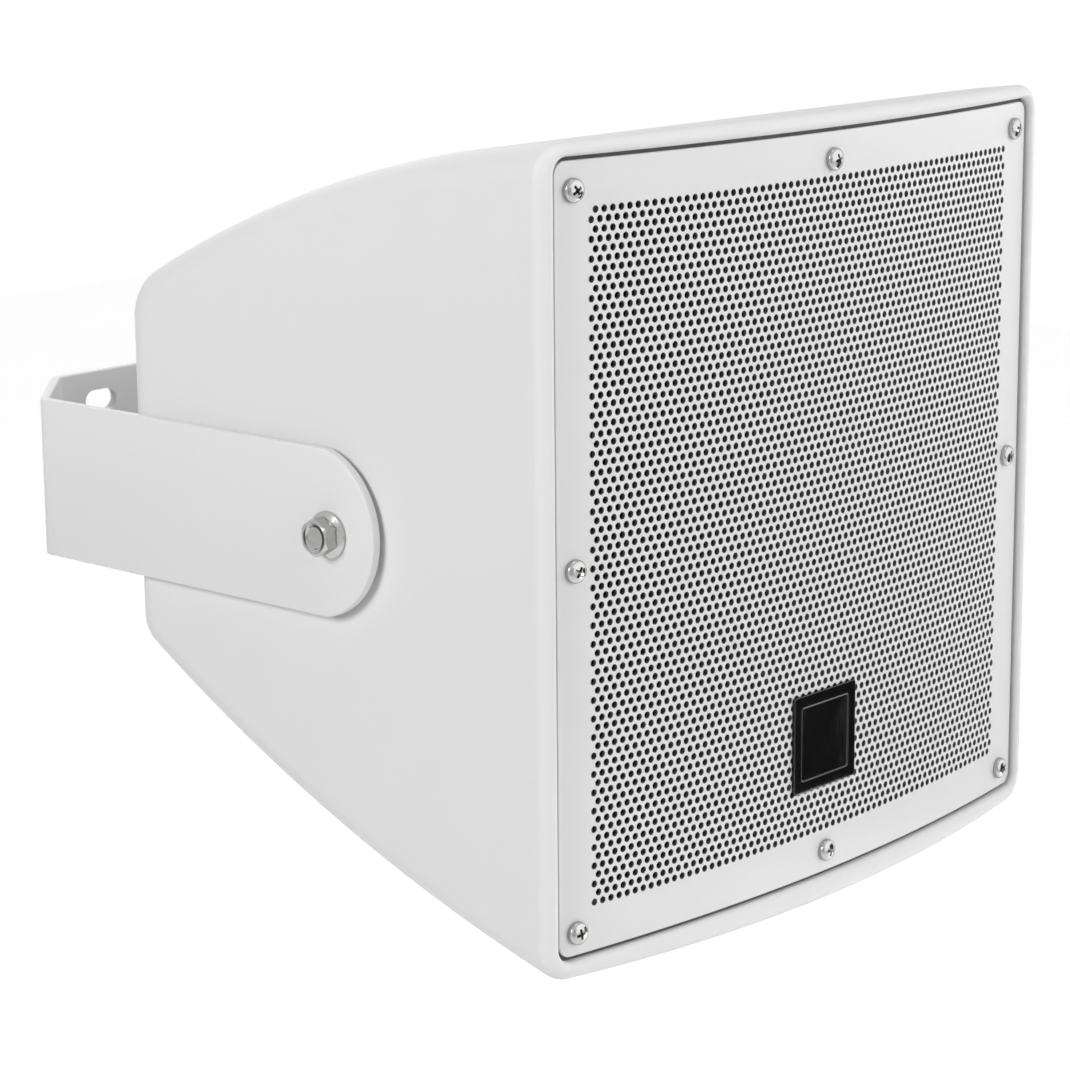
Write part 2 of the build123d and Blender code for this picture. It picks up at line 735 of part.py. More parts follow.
lip_y = dome_seat
with BuildPart() as tweeter_dome:
    with BuildSketch(driver_section()):
        with BuildLine():
            Line((tweeter_r - tweeter_wall - thread_gap, lip_y), (dome_r, lip_y))
            RadiusArc((dome_r, lip_y), (0, lip_y - dome_h), (dome_r**2 + dome_h**2) / (2 * dome_h))
            Line((0, lip_y - dome_h), (0, lip_y - dome_h - dome_t))
            RadiusArc(
                (0, lip_y - dome_h - dome_t),
                (dome_r, lip_y - dome_t),
                -(dome_r**2 + dome_h**2) / (2 * dome_h),
            )
            Line((dome_r, lip_y - dome_t), (tweeter_r - tweeter_wall - thread_gap, lip_y - dome_t))
            Line(
                (tweeter_r - tweeter_wall - thread_gap, lip_y - dome_t),
                (tweeter_r - tweeter_wall - thread_gap, lip_y),
            )
        make_face()
    revolve(axis=driver_axis)
tweeter_dome.part.label = "tweeter_dome"
export_step(tweeter_dome.part, "parts/tweeter_dome.step")

# Input plate on the rear wall, with its gasket and screws
plate_in_y = rear_y + input_gasket_t
plate_out_y = plate_in_y + input_t
with BuildPart() as input_gasket:
    with BuildSketch(input_spot):
        RectangleRounded(input_w, input_h, input_lip / 2)
        RectangleRounded(opening_w, opening_h, input_lip / 2, mode=Mode.SUBTRACT)
        with GridLocations(input_screw_x, input_screw_z, 2, 2):
            Circle(input_screw_r + thread_gap, mode=Mode.SUBTRACT)
    extrude(amount=-input_gasket_t)
input_gasket.part.label = "input_gasket"
export_step(input_gasket.part, "parts/input_gasket.step")

with BuildPart() as input_plate:
    with BuildSketch(facing(plate_in_y, input_rise)):
        RectangleRounded(input_w, input_h, input_lip / 2)
        with GridLocations(input_screw_x, input_screw_z, 2, 2):
            Circle(input_screw_r + thread_gap, mode=Mode.SUBTRACT)
        with Locations((gland_x, 0)):
            Circle(gland_thread_r + thread_gap, mode=Mode.SUBTRACT)
    extrude(amount=-input_t)
input_plate.part.label = "input_plate"
export_step(input_plate.part, "parts/input_plate.step")

input_screw = pan_screw(input_screw_head_r, input_screw_head_h, input_screw_r, input_screw_l)
with BuildPart() as input_screws:
    with Locations(Plane(origin=(0, plate_out_y, input_rise), x_dir=(-1, 0, 0), z_dir=(0, 1, 0))):
        with GridLocations(input_screw_x, input_screw_z, 2, 2):
            add(input_screw)
input_screws.part.label = "input_screws"
export_step(input_screws.part, "parts/input_screws.step")

# Cable gland through the input plate: body, lock nut, seal and cap
hex_out_y = plate_out_y + gland_hex_t
collar_out_y = hex_out_y + gland_collar_l
with BuildPart() as gland_body:
    with BuildSketch(facing(plate_out_y, input_rise, gland_x)):
        RegularPolygon(gland_flats / 2, 6, major_radius=False)
    extrude(amount=-gland_hex_t)
    with BuildSketch(facing(collar_out_y, input_rise, gland_x)):
        Circle(gland_thread_r)
    extrude(amount=collar_out_y - plate_in_y + gland_tail)
    with BuildSketch(facing(collar_out_y, input_rise, gland_x)):
        Circle(gland_bore_r)
    extrude(amount=reach, both=True, mode=Mode.SUBTRACT)
gland_body.part.label = "gland_body"
export_step(gland_body.part, "parts/gland_body.step")

with BuildPart() as gland_locknut:
    with BuildSketch(facing(plate_in_y, input_rise, gland_x)):
        RegularPolygon(gland_flats / 2, 6, major_radius=False)
        Circle(gland_thread_r + thread_gap, mode=Mode.SUBTRACT)
    extrude(amount=locknut_t)
gland_locknut.part.label = "gland_locknut"
export_step(gland_locknut.part, "parts/gland_locknut.step")

with BuildPart() as gland_seal:
    with BuildSketch(facing(hex_out_y, input_rise, gland_x)):
        Circle(gland_bore_r - thread_gap)
        Circle(gland_bore_r - gland_seal_t, mode=Mode.SUBTRACT)
    extrude(amount=-gland_collar_l)
gland_seal.part.label = "gland_seal"
export_step(gland_seal.part, "parts/gland_seal.step")

with BuildPart() as gland_cap:
    with BuildSketch(facing(hex_out_y, input_rise, gland_x)):
        Circle(gland_flats / 2)
    extrude(amount=-gland_cap_l)
    chamfer(gland_cap.faces().sort_by(Axis.Y)[-1].edges(), gland_cap_edge)
    with BuildSketch(facing(hex_out_y, input_rise, gland_x)):
        Circle(gland_thread_r + thread_gap)
    extrude(amount=-gland_collar_l, mode=Mode.SUBTRACT)
    with BuildSketch(facing(hex_out_y, input_rise, gland_x)):
        Circle(gland_cap_mouth_r)
    extrude(amount=-2 * gland_cap_l, mode=Mode.SUBTRACT)
gland_cap.part.label = "gland_cap"
export_step(gland_cap.part, "parts/gland_cap.step")

# Crossover: board on spacers inside the input plate, components on its inner face
board_x = (board_w - opening_w) / 2 + board_edge
board_back = plate_in_y - spacer_l
board_face = board_back - board_t
with BuildPart() as board_spacers:
    with BuildSketch(facing(plate_in_y, input_rise, board_x)):
        with GridLocations(board_w - 2 * spacer_inset, board_h - 2 * spacer_inset, 2, 2):
            Circle(spacer_r)
    extrude(amount=spacer_l)
board_spacers.part.label = "board_spacers"
export_step(board_spacers.part, "parts/board_spacers.step")

with BuildPart() as crossover_board:
    with BuildSketch(facing(board_back, input_rise, board_x)):
        Rectangle(board_w, board_h)
    extrude(amount=board_t)
crossover_board.part.label = "crossover_board"
export_step(crossover_board.part, "parts/crossover_board.step")

big_x = part_room + coil_big_r - board_w / 2
big_z = board_h / 2 - part_room - coil_big_r
small_x = big_x + coil_big_r + part_room + coil_small_r
small_z = board_h / 2 - part_room - coil_small_r
with BuildPart() as inductors:
    with BuildSketch(facing(board_face, input_rise, board_x)):
        with Locations((big_x, big_z)):
            Circle(coil_big_r)
            Circle(coil_core_r, mode=Mode.SUBTRACT)
        with Locations((small_x, small_z)):
            Circle(coil_small_r)
            Circle(coil_core_r, mode=Mode.SUBTRACT)
    extrude(amount=coil_height)
inductors.part.label = "inductors"
export_step(inductors.part, "parts/inductors.step")

cap_z = input_rise - board_h / 2 + part_room + cap_r
with BuildPart() as capacitors:
    for place in range(2):
        cap_x = board_x - board_w / 2 + part_room + place * (cap_l + part_room)
        cap_end = Plane(origin=(cap_x, board_face - cap_r, cap_z), z_dir=(1, 0, 0))
        with BuildSketch(cap_end):
            Circle(cap_r)
        extrude(amount=cap_l)
capacitors.part.label = "capacitors"
export_step(capacitors.part, "parts/capacitors.step")

resistor_z = small_z - coil_small_r - part_room - resistor_w / 2
with BuildPart() as resistor:
    with BuildSketch(facing(board_face, input_rise + resistor_z, board_x + small_x)):
        Rectangle(resistor_l, resistor_w)
    extrude(amount=resistor_w)
resistor.part.label = "resistor"
export_step(resistor.part, "parts/resistor.step")

block_x = board_x + (board_w - block_d) / 2 - part_room
with BuildPart() as terminal_block:
    with BuildSketch(facing(board_face, input_rise, block_x)):
        Rectangle(block_d, block_w)
    extrude(amount=block_h)
terminal_block.part.label = "terminal_block"
export_step(terminal_block.part, "parts/terminal_block.step")
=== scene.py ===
import json
from math import acos, asin, atan2, cos, hypot, pi, radians, sin, sqrt, tan

import bmesh
import bpy
import numpy as np
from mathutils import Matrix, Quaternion, Vector
from mathutils.geometry import delaunay_2d_cdt


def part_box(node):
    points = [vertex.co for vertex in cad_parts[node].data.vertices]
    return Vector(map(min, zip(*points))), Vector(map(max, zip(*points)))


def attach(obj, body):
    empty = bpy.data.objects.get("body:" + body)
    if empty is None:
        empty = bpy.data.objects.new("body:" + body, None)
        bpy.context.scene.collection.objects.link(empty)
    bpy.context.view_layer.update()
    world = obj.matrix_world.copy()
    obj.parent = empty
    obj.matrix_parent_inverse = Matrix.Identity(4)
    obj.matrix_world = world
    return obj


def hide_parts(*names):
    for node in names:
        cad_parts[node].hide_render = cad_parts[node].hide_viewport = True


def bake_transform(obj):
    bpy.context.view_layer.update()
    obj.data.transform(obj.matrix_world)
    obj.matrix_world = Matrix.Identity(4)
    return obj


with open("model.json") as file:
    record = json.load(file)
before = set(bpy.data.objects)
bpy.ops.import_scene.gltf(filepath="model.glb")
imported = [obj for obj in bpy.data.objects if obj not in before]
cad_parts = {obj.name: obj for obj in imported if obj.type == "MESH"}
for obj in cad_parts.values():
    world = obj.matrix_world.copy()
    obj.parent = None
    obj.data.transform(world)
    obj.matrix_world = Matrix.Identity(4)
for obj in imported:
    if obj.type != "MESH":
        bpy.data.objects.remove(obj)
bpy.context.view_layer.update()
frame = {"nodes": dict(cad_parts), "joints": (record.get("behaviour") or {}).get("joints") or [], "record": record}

# Looks of an outdoor speaker: a moulded cabinet that tilts in a U-shaped strap bracket.
# Sizes are in millimetres, in the frame of the solids: the front faces -Y, the wall is Y = 0, +Z is up.
MM = 0.001
UP = Vector((0, 0, 1))


def node_box(node):
    """Lowest and highest corner of a solid, in millimetres."""
    low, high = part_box(node)
    return np.array(low) / MM, np.array(high) / MM


# Places read from the frame
cabinet_low, cabinet_high = node_box("cabinet")
grille_low, grille_high = node_box("grille")
bracket_low, bracket_high = node_box("bracket")
badge_low, badge_high = node_box("badge")
input_low, input_high = node_box("input_plate")
cap_low, cap_high = node_box("gland_cap")
surround_low, surround_high = node_box("woofer_surround")
spider_low, spider_high = node_box("woofer_spider")
pivot_y = next(j["pos_m"][1] for j in frame["joints"] if j["name"] == "tilt") / MM
side_x = cabinet_high[0]
rim_y = cabinet_low[1]
rear_y = cabinet_high[1]
face_y = grille_low[1]
grille_z = (grille_low[2] + grille_high[2]) / 2
sheet_w = grille_high[0] - grille_low[0]
sheet_h = grille_high[2] - grille_low[2]
arm_out = bracket_high[0]
nose_y = bracket_low[1]
strap_w = bracket_high[2] - bracket_low[2]
badge_w = badge_high[0] - badge_low[0]
badge_middle = (badge_low + badge_high) / 2
input_size = input_high - input_low
input_middle = (input_low + input_high) / 2
cap_size = cap_high - cap_low
cap_middle = (cap_low + cap_high) / 2

# Cabinet
wall = 4.5
sheet_gap = 1.5
rim_top = 6.75
rim_bottom = 12.0
lip_r = 4.0
recess_r = 6.0
recess_edge_r = 2.5
edge_r = 12.0
front_trim = 5.0  # from the rim forwards to where the arcs of the top and underside start
top_arc_r = 560.0
bottom_arc_r = 740.0
rear_top = 81.5
rear_bottom = -59.0
rear_top_r = 22.0
rear_bottom_r = 16.0
ledge_w = 18.65
sleeve_r = 8.0
seat_depth = 44.0
seat_w = 11.0
painted_shade_strips = 2  # first strips of the recess, painted near black as shade in the gap round the grille: the grille's ledge and the sleeve
pivot_hole_r = 6.5
opening_inset = 10.0
opening_r = 5.0

# Grille and its screws
sheet_t = 1.5
bow_r = 856.0
sheet_corner_r = 5.0
sheet_edge_r = 0.35
hole_r = 1.4
hole_sides = 8
hole_pitch = 4.0
rows_above = 36
rows_below = 37
holes_per_row = 64
row_shift = 0.5  # share of a pitch between the holes of neighbouring rows
row_lift = 0.5  # share of a row pitch by which the pattern's rows miss the middle
pattern_shift = -1.65  # middle of the holes and screws to the right of the sheet's middle
pattern_rise = 0.35  # middle of the holes above the sheet's middle
badge_clear = 0.6
screw_inset = 9.5
screw_drop = 0.8
screw_head_r = 4.4
screw_head_h = 3.2
screw_side_h = 0.9
screw_edge = 0.15
screw_dome = 0.8  # power of the sine that a head's dome follows
screw_shank_r = 2.4
screw_shank_l = 8.0
cross_span = 4.6
cross_w = 1.15
cross_depth = 2.2
cross_taper = 0.42
cross_flare = 1.06
cross_over = 0.3  # height above the head from which the cross recess is cut
screw_turns = (10, 62, 33, 80, 20, 48, 5, 70)  # degrees by which each cross is turned

# Bracket and bolts
strap_t = 4.0
strap_bend_r = 7.0
bend_angle = pi / 4
corner_cut = 36.0
arm_end_r = strap_w / 2 + 1.0
strap_edge_r = 0.7
pivot_bore_r = 4.08
slot_w = 9.0
slot_l = 17.0
slot_flat = 0.002  # straight part of a slot's end
slot_span = 200.0
slot_rise = 39.0
hex_blunt = 0.985  # share of a hexagon's corner that is left
chamfer_angle = 30.0
bolt_shank_r = 4.0
bolt_flange_r = 9.0
bolt_flange_t = 1.2
bolt_flange_rise = 0.9
bolt_seat_edge = 0.3
bolt_flange_edge = 0.4
bolt_foot = 0.35
bolt_foot_sink = 0.1
bolt_hex = 13.0
bolt_head_h = 8.0
bolt_chamfer = 0.94
bolt_edge_w = 0.12
bolt_edge_h = 0.15
bolt_dish = 0.8
bolt_dish_r = 4.3
bolt_dish_lip = 0.7
bolt_dish_edge_w = 0.2
bolt_dish_edge_h = 0.15
bolt_dish_slope = 0.3
bolt_dish_middle = 0.4
bolt_turns = (2, 40)

# Badge, input plate and gland
badge_frame = 4.5
badge_sink = 0.4
badge_edge_r = 0.4
badge_corner_r = 1.2
badge_slope = 0.65
badge_slope_w = 0.15
badge_slope_h = 0.05
input_corner_r = 5.0
input_edge_r = 0.6
input_screw_inset = 6.0
input_head_r = 3.6
input_head_h = 2.6
input_screw_r = 2.0
gland_thread_r = 8.0
gland_bore_r = 5.5
gland_flats = 22.0
gland_chamfer = 0.95
gland_hex_t = 6.0
gland_collar_l = 8.0
gland_tail_l = 7.0
gland_play = 0.05
cap_edge = 0.5
cap_band = 1.6
cap_flute_start = 0.4
cap_flutes = 12
cap_flute = 0.45
cap_flute_sharp = 2.2
cap_grip = 0.6  # share of the cap's length at which the dome starts
cap_mouth_r = 6.0
cap_mouth_edge = 0.4
# Steps of the dome: distance inwards, share of the cap's length, share of the flutes
cap_dome = ((0.6, 0.72, 0.6), (1.6, 0.86, 0), (2.8, 0.96, 0), (3.6, 1, 0))

# Surround and spider of the driver
flex_sectors = 16
flex_sections = 5
glue_gap = 0.1
surround_t = 1.0
surround_land = 5.0
surround_roll_r = 6.0
spider_t = 0.8
spider_seat_w = 14.0
spider_in_r = 25.1
spider_lip = 2.0
spider_waves = 5
spider_wave_h = 2.4

# Fineness of the meshes: steps along a curve, points round a circle
sharp_angle = 35.0
screw_sharp_angle = 30.0
bolt_sharp_angle = 20.0
tolerance = 1e-6
arc_steps = 28
rear_steps = 12
wall_steps = 11
edge_steps = 10
lip_steps = 8
recess_edge_steps = 5
straight_steps = 18
straight_share = 0.9  # share of a straight run that is in even steps
corner_share = 0.97  # share of a straight run at which its last step starts
opening_steps = 6
corner_steps = 8
sheet_edge_steps = 3
sheet_step = 6.0
slot_steps = 10
bend_steps = 6
nose_steps = 32
dome_steps = 11
badge_steps = 5
badge_edge_steps = 4
roll_steps = 12
screw_points = 20
bore_points = 32
round_points = 48
bolt_points = 120
gland_points = 144

# Colours and patterns of the materials
plastic_white = (0.785, 0.785, 0.785)
coat_white = (0.75, 0.75, 0.75)
gloss_drift = 0.08
noise_roughness = 0.55
noise_low = 0.3
noise_high = 0.7
foam_cell = 0.9
wire_band = 6.0
thread_pitch = 1.2

# Camera, at the photograph's viewing angle
camera_place = (-967.4, -1032.27, 262.22)
camera_azimuth = 47.927
camera_elevation = 12.803
camera_roll = -0.506
camera_lens = 108.15
camera_sensor = 36.0
camera_reach = 100000.0

# Floor and surroundings
floor_drop = 900.0
floor_size = 12000.0
floor_patch = 400.0
floor_glow = 0.6
light_from = (0.44, -0.87, -0.22)  # direction of the surroundings' bright side
light_fade = (0.05, 0.75)  # shares of that direction between which the light grows
front_light = 1.87
rear_light = 0.07

# Lamps: place, point they look at, size and watts
lamps = {
    "left": ((-2300, -20, 950), (0, -200, 0), 900, 37),
    "top": ((0, -350, 2200), (0, -200, 0), 1000, 6),
    "right": ((1600, -1500, -600), (0, -200, 0), 800, 26),
    "rear": ((900, 1800, 1200), (0, -150, 0), 1400, 10),
}

# Cards that steel and gloss reflect: place, size and tone
cards = {
    "card_right": ((694, -826, -250), 460, 0.02),
    "card_rear": ((-450, 600, -380), 620, 0.03),
    "card_left": ((-1065, 180, -200), 420, 0.03),
    "card_front": ((-900, -1700, -100), 1300, 0.85),
}
card_patch = 50.0
card_drift = 0.1

# Places that follow from these values
bow_y = face_y + bow_r
rim_r = bow_r + face_y - rim_y
ledge_r = bow_r - sheet_t
seat_y = face_y + seat_depth
front_y = rim_y - front_trim
recess_w = sheet_w + 2 * sheet_gap
recess_h = sheet_h + 2 * sheet_gap
front_top = grille_z + recess_h / 2 + rim_top
front_bottom = grille_z - recess_h / 2 - rim_bottom
sleeve_w = recess_w - 2 * ledge_w
sleeve_h = recess_h - 2 * ledge_w


class Maker:
    """Collects the points and faces of one mesh."""

    def __init__(self):
        self.points = []
        self.faces = []
        self.second = set()

    def second_from(self, start):
        """Gives the faces made since a count of faces the piece's second material."""
        self.second.update(range(start, len(self.faces)))

    def add(self, points):
        """Adds an array of points and returns their numbers in the array's shape."""
        points = np.asarray(points, float)
        first = len(self.points)
        self.points.extend(points.reshape(-1, 3).tolist())
        return np.arange(first, len(self.points)).reshape(points.shape[:-1])

    def strip(self, row, other, closed=True):
        """Joins two rows of points with four-sided faces."""
        count = len(row) if closed else len(row) - 1
        for i in range(count):
            j = (i + 1) % len(row)
            self.faces.append((row[i], row[j], other[j], other[i]))

    def strips(self, rows, closed=True):
        """Joins each row of points to the next."""
        for row, other in zip(rows[:-1], rows[1:]):
            self.strip(row, other, closed)

    def loft(self, loops, caps=True):
        """Joins closed loops one after the other, with a flat face at each end if it has caps."""
        numbers = [self.add(loop) for loop in loops]
        self.strips(numbers)
        if caps:
            self.faces += [tuple(numbers[0]), tuple(numbers[-1])]

    def object(self, name, sharp=sharp_angle):
        """Puts the mesh in the scene in metres, its faces turned outwards and smooth up to an angle."""
        mesh = bpy.data.meshes.new(name)
        mesh.from_pydata(np.array(self.points) * MM, [], [tuple(map(int, f)) for f in self.faces])
        for number in self.second:
            mesh.polygons[number].material_index = 1
        work = bmesh.new()
        work.from_mesh(mesh)
        bmesh.ops.recalc_face_normals(work, faces=work.faces)
        work.to_mesh(mesh)
        work.free()
        mesh.shade_smooth()
        mesh.set_sharp_from_angle(angle=radians(sharp))
        piece = bpy.data.objects.new(name, mesh)
        bpy.context.scene.collection.objects.link(piece)
        return piece


def lofted(name, loops, caps=True):
    """Object of closed loops joined one after the other."""
    maker = Maker()
    maker.loft(loops, caps)
    return maker.object(name)


def cut(piece, tool):
    """Takes a closed tool mesh out of a piece."""
    change = piece.modifiers.new("cut", "BOOLEAN")
    change.operation = "DIFFERENCE"
    change.solver = "EXACT"
    change.object = tool
    bpy.context.view_layer.update()
    graph = bpy.context.evaluated_depsgraph_get()
    mesh = bpy.data.meshes.new_from_object(piece.evaluated_get(graph))
    piece.modifiers.clear()
    old = piece.data
    piece.data = mesh
    bpy.data.meshes.remove(old)
    bpy.data.meshes.remove(tool.data)


def dress(piece, node, body="cabinet", second=None):
    """Lets a piece ride on a body in place of a solid, with the solid's material."""
    slot = slots[node]
    piece.data.materials.append(paints[slot])
    if second:
        piece.data.materials.append(second)
    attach(piece, body)
    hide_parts(node)


# Lines and loops of points
def turn(count, first=0.0):
    """Evenly spaced angles of a full turn."""
    return first + np.arange(count) * 2 * pi / count


def quarter(steps):
    """Evenly spaced angles of a quarter turn."""
    return np.linspace(0, pi / 2, steps + 1)


def columns(*values):
    """Points from their coordinates, each of them an array or one number for all."""
    return np.stack(np.broadcast_arrays(*values), axis=-1)


def arc(centre, radius, angles):
    """Points of an arc in a plane."""
    return columns(centre[0] + radius * np.cos(angles), centre[1] + radius * np.sin(angles))


def circle(radius, count, centre, first=0.0):
    """Points of a circle in a plane."""
    return arc(centre, radius, turn(count, first))


def rings(profile, angles):
    """Loops about the Z axis, one for each radius and height, which may change with the angle."""
    return [columns(radius * np.cos(angles), radius * np.sin(angles), height) for radius, height in profile]


def hex_radius(flats, angles):
    """Radius of a six-sided head at each angle, with slightly blunted corners."""
    off = (angles + pi / 6) % (pi / 3) - pi / 6
    return np.minimum(flats / 2 / np.cos(off), hex_blunt * flats / sqrt(3))


def placed(points, origin, axis, spin=0.0):
    """Moves points from a frame about Z to an origin and axis, turned by spin degrees."""
    z = Vector(axis).normalized()
    x = UP.cross(z).normalized()
    basis = np.array([x, z.cross(x), z]).T
    c, s = cos(radians(spin)), sin(radians(spin))
    turned = np.asarray(points) @ np.array([[c, s, 0], [-s, c, 0], [0, 0, 1]])
    return turned @ basis.T + np.array(origin)


def bow(x, radius):
    """Depth of an upright cylinder about the bow's axis at x."""
    return bow_y - np.sqrt(radius**2 - np.asarray(x) ** 2)


def rounded_outline(width, height, corner_r, steps):
    """Outline of a rounded rectangle, counter-clockwise from the lower right corner's arc."""
    points = []
    for number, (sx, sy) in enumerate(((1, -1), (1, 1), (-1, 1), (-1, -1))):
        middle = (sx * (width / 2 - corner_r), sy * (height / 2 - corner_r))
        points.append(arc(middle, corner_r, quarter(steps) + (number - 1) * pi / 2))
    return np.concatenate(points)


# Cabinet shell
def bulge_centre(start, end, radius):
    """Centre of the arc from start to end that bulges to the left of its travel."""
    start, end = np.array(start), np.array(end)
    half = (end - start) / 2
    left = np.array((-half[1], half[0])) / hypot(*half)
    return start + half - left * sqrt(radius**2 - half @ half)


def rear_round(centre, arc_r, round_r, side):
    """Centre of the rounding between an arc and the rear wall, above (1) or below (-1)."""
    y = rear_y - round_r
    return np.array((y, centre[1] + side * sqrt((arc_r - round_r) ** 2 - (y - centre[0]) ** 2)))


top_centre = bulge_centre((front_y, front_top), (rear_y, rear_top), top_arc_r)
bottom_centre = bulge_centre((rear_y, rear_bottom), (front_y, front_bottom), bottom_arc_r)
top_round = rear_round(top_centre, top_arc_r, rear_top_r, 1)
bottom_round = rear_round(bottom_centre, bottom_arc_r, rear_bottom_r, -1)
top_end = atan2(*(top_round - top_centre)[::-1])
bottom_end = atan2(*(bottom_round - bottom_centre)[::-1])

# Places across the cabinet: the rounded left edge, the width, and the rounded right edge
corner = quarter(edge_steps)
even_share = np.linspace(-straight_share, straight_share, straight_steps + 1)
width_share = np.concatenate([[-1, -corner_share], even_share, [corner_share, 1]])
side_share = np.concatenate([[corner_share], -even_share, [-corner_share]])
across_a = np.concatenate([-np.ones(edge_steps), width_share, np.ones(edge_steps)])
across_dx = np.concatenate([-np.sin(corner[:0:-1]), np.zeros(len(width_share)), np.sin(corner[1:])])
across_dz = np.concatenate([np.cos(corner[:0:-1]), np.ones(len(width_share)), np.cos(corner[1:])])


def loop_roles():
    """For each point of a front loop: its share of the straight runs and its outward direction."""
    top = columns(across_a, 1, across_dx, across_dz)
    right = columns(1, side_share, 1, 0)
    bottom = columns(across_a, -1, across_dx, -across_dz)[::-1]
    left = columns(-1, side_share, -1, 0)[::-1]
    return np.concatenate([top, right, bottom, left])


roles = loop_roles()


def rect_loop(width, height, corner_r, depth):
    """Loop of a rounded rectangle round the grille's middle. Depth is a number or a function of x."""
    x = roles[:, 0] * (width / 2 - corner_r) + corner_r * roles[:, 2]
    z = grille_z + roles[:, 1] * (height / 2 - corner_r) + corner_r * roles[:, 3]
    return columns(x, depth(x) if callable(depth) else depth, z)


def skin_line(x, inset, top_y, bottom_y):
    """Line over the cabinet at x, drawn in by inset, from the front's top edge to its bottom edge."""
    top_start = acos((top_y - top_centre[0]) / (top_arc_r - inset))
    bottom_start = -acos((bottom_y - bottom_centre[0]) / (bottom_arc_r - inset))
    top_angles = np.linspace(top_start, top_end, arc_steps + 1)[:-1]
    bottom_angles = np.linspace(bottom_end, bottom_start, arc_steps + 1)[1:]
    top = arc(top_centre, top_arc_r - inset, top_angles)
    top_rear = arc(top_round, rear_top_r - inset, np.linspace(top_end, 0, rear_steps + 1))
    bottom_rear = arc(bottom_round, rear_bottom_r - inset, np.linspace(0, bottom_end, rear_steps + 1))
    bottom = arc(bottom_centre, bottom_arc_r - inset, bottom_angles)
    flat = np.linspace(top_rear[-1], bottom_rear[0], wall_steps + 1)[1:-1]
    line = np.concatenate([top, top_rear, flat, bottom_rear, bottom])
    return np.insert(line, 0, x, axis=1)


def leans(share):
    """Angles by which top and underside lean out at the front, by the upright share of their direction."""
    angles = []
    for centre, arc_r in ((top_centre, top_arc_r), (bottom_centre, bottom_arc_r)):
        rise = abs(front_y - centre[0]) / arc_r
        steep = sqrt(1 - rise**2)
        angles.append(np.arctan2(share * rise, 1 - share**2 + share**2 * steep))
    return angles


def skin(maker, inset, front, lip):
    """One skin of the cabinet. Returns the point numbers and places of its open front edge."""
    half, rounding = side_x - inset, edge_r - inset
    xs = across_a * (half - rounding) + rounding * across_dx
    insets = inset + rounding * (1 - across_dz)
    edge_y = [front(xs) + lip * (1 + np.sin(angle)) for angle in leans(across_dz)]
    lines = np.array([skin_line(*values) for values in zip(xs, insets, *edge_y)])
    numbers = maker.add(lines)
    maker.strips(numbers, closed=False)
    share = (side_share[:, None] + 1) / 2
    edges = {}
    for name, line in (("left", 0), ("right", -1)):
        high, low = lines[line, 0], lines[line, -1]
        edges[name] = maker.add(low + (high - low) * share)
        maker.faces.append((*numbers[line], *edges[name][::-1]))
    loop = np.concatenate([numbers[:, 0], edges["right"], numbers[::-1, -1], edges["left"][::-1]])
    return loop, np.array(maker.points)[loop]


def lip_loops(edge):
    """Loops of the rim's rounded outer edge, from the outer skin's front edge on."""
    lean = np.where(roles[:, 1] == 1, *leans(np.abs(roles[:, 3])))
    loops = []
    for share in np.linspace(0, 1, lip_steps + 1)[1:]:
        angle = (pi / 2 + lean) * share - lean
        shift = lip_r * (np.cos(lean) - np.cos(angle))
        x, z = edge[:, 0] - roles[:, 2] * shift, edge[:, 2] - roles[:, 3] * shift
        loops.append(columns(x, bow(x, rim_r) + lip_r * (1 - np.sin(angle)), z))
    return loops


def recess_edge_loops():
    """Loops of the rounded edge between the rim's face and the recess."""
    loops = []
    for angle in quarter(recess_edge_steps):
        grow = recess_edge_r * (1 - sin(angle))
        sink = recess_edge_r * (1 - cos(angle))
        size = (recess_w + 2 * grow, recess_h + 2 * grow, recess_r + grow)
        loops.append(rect_loop(*size, lambda x: bow(x, rim_r) + sink))
    return loops


def recess_loops():
    """Loops of the grille's ledge, the sleeve behind it, the baffle's seat and the back of all three."""
    sleeve = (sleeve_w, sleeve_h, sleeve_r)
    mouth = (sleeve_w - 2 * seat_w, sleeve_h - 2 * seat_w, sleeve_r)
    jacket = (sleeve_w + 2 * wall, sleeve_h + 2 * wall, sleeve_r + wall)
    return [
        rect_loop(recess_w, recess_h, recess_r, lambda x: bow(x, ledge_r)),
        rect_loop(*sleeve, lambda x: bow(x, ledge_r)),
        rect_loop(*sleeve, seat_y),
        rect_loop(*mouth, seat_y),
        rect_loop(*mouth, seat_y + wall),
        rect_loop(*jacket, seat_y + wall),
        rect_loop(*jacket, lambda x: bow(x, ledge_r - wall)),
    ]


def cabinet_shell():
    """Moulded cabinet: outer skin, rounded rim, grille recess, baffle seat and inner skin."""
    maker = Maker()
    outer, edge = skin(maker, 0.0, lambda x: bow(x, rim_r), lip_r)
    rim = [outer] + [maker.add(loop) for loop in lip_loops(edge) + recess_edge_loops()]
    recess = [maker.add(loop) for loop in recess_loops()]
    inner, _ = skin(maker, wall, lambda x: bow(x, ledge_r - wall), 0.0)
    maker.strips([*rim, recess[0]])
    # The ledge and the sleeve take the second material: painted shade that darkens the gap round the grille
    start = len(maker.faces)
    maker.strips(recess[: painted_shade_strips + 1])
    maker.second_from(start)
    maker.strips([*recess[painted_shade_strips:], inner])
    shell = maker.object("cabinet_shell")
    cut(shell, rear_opening())
    for side in (-1, 1):
        cut(shell, pivot_hole(side))
    shell.data.set_sharp_from_angle(angle=radians(sharp_angle))
    # Large faces lead the shading, so that flats beside rounded edges look flat
    even = shell.modifiers.new("even_normals", "WEIGHTED_NORMAL")
    even.keep_sharp = True
    return shell


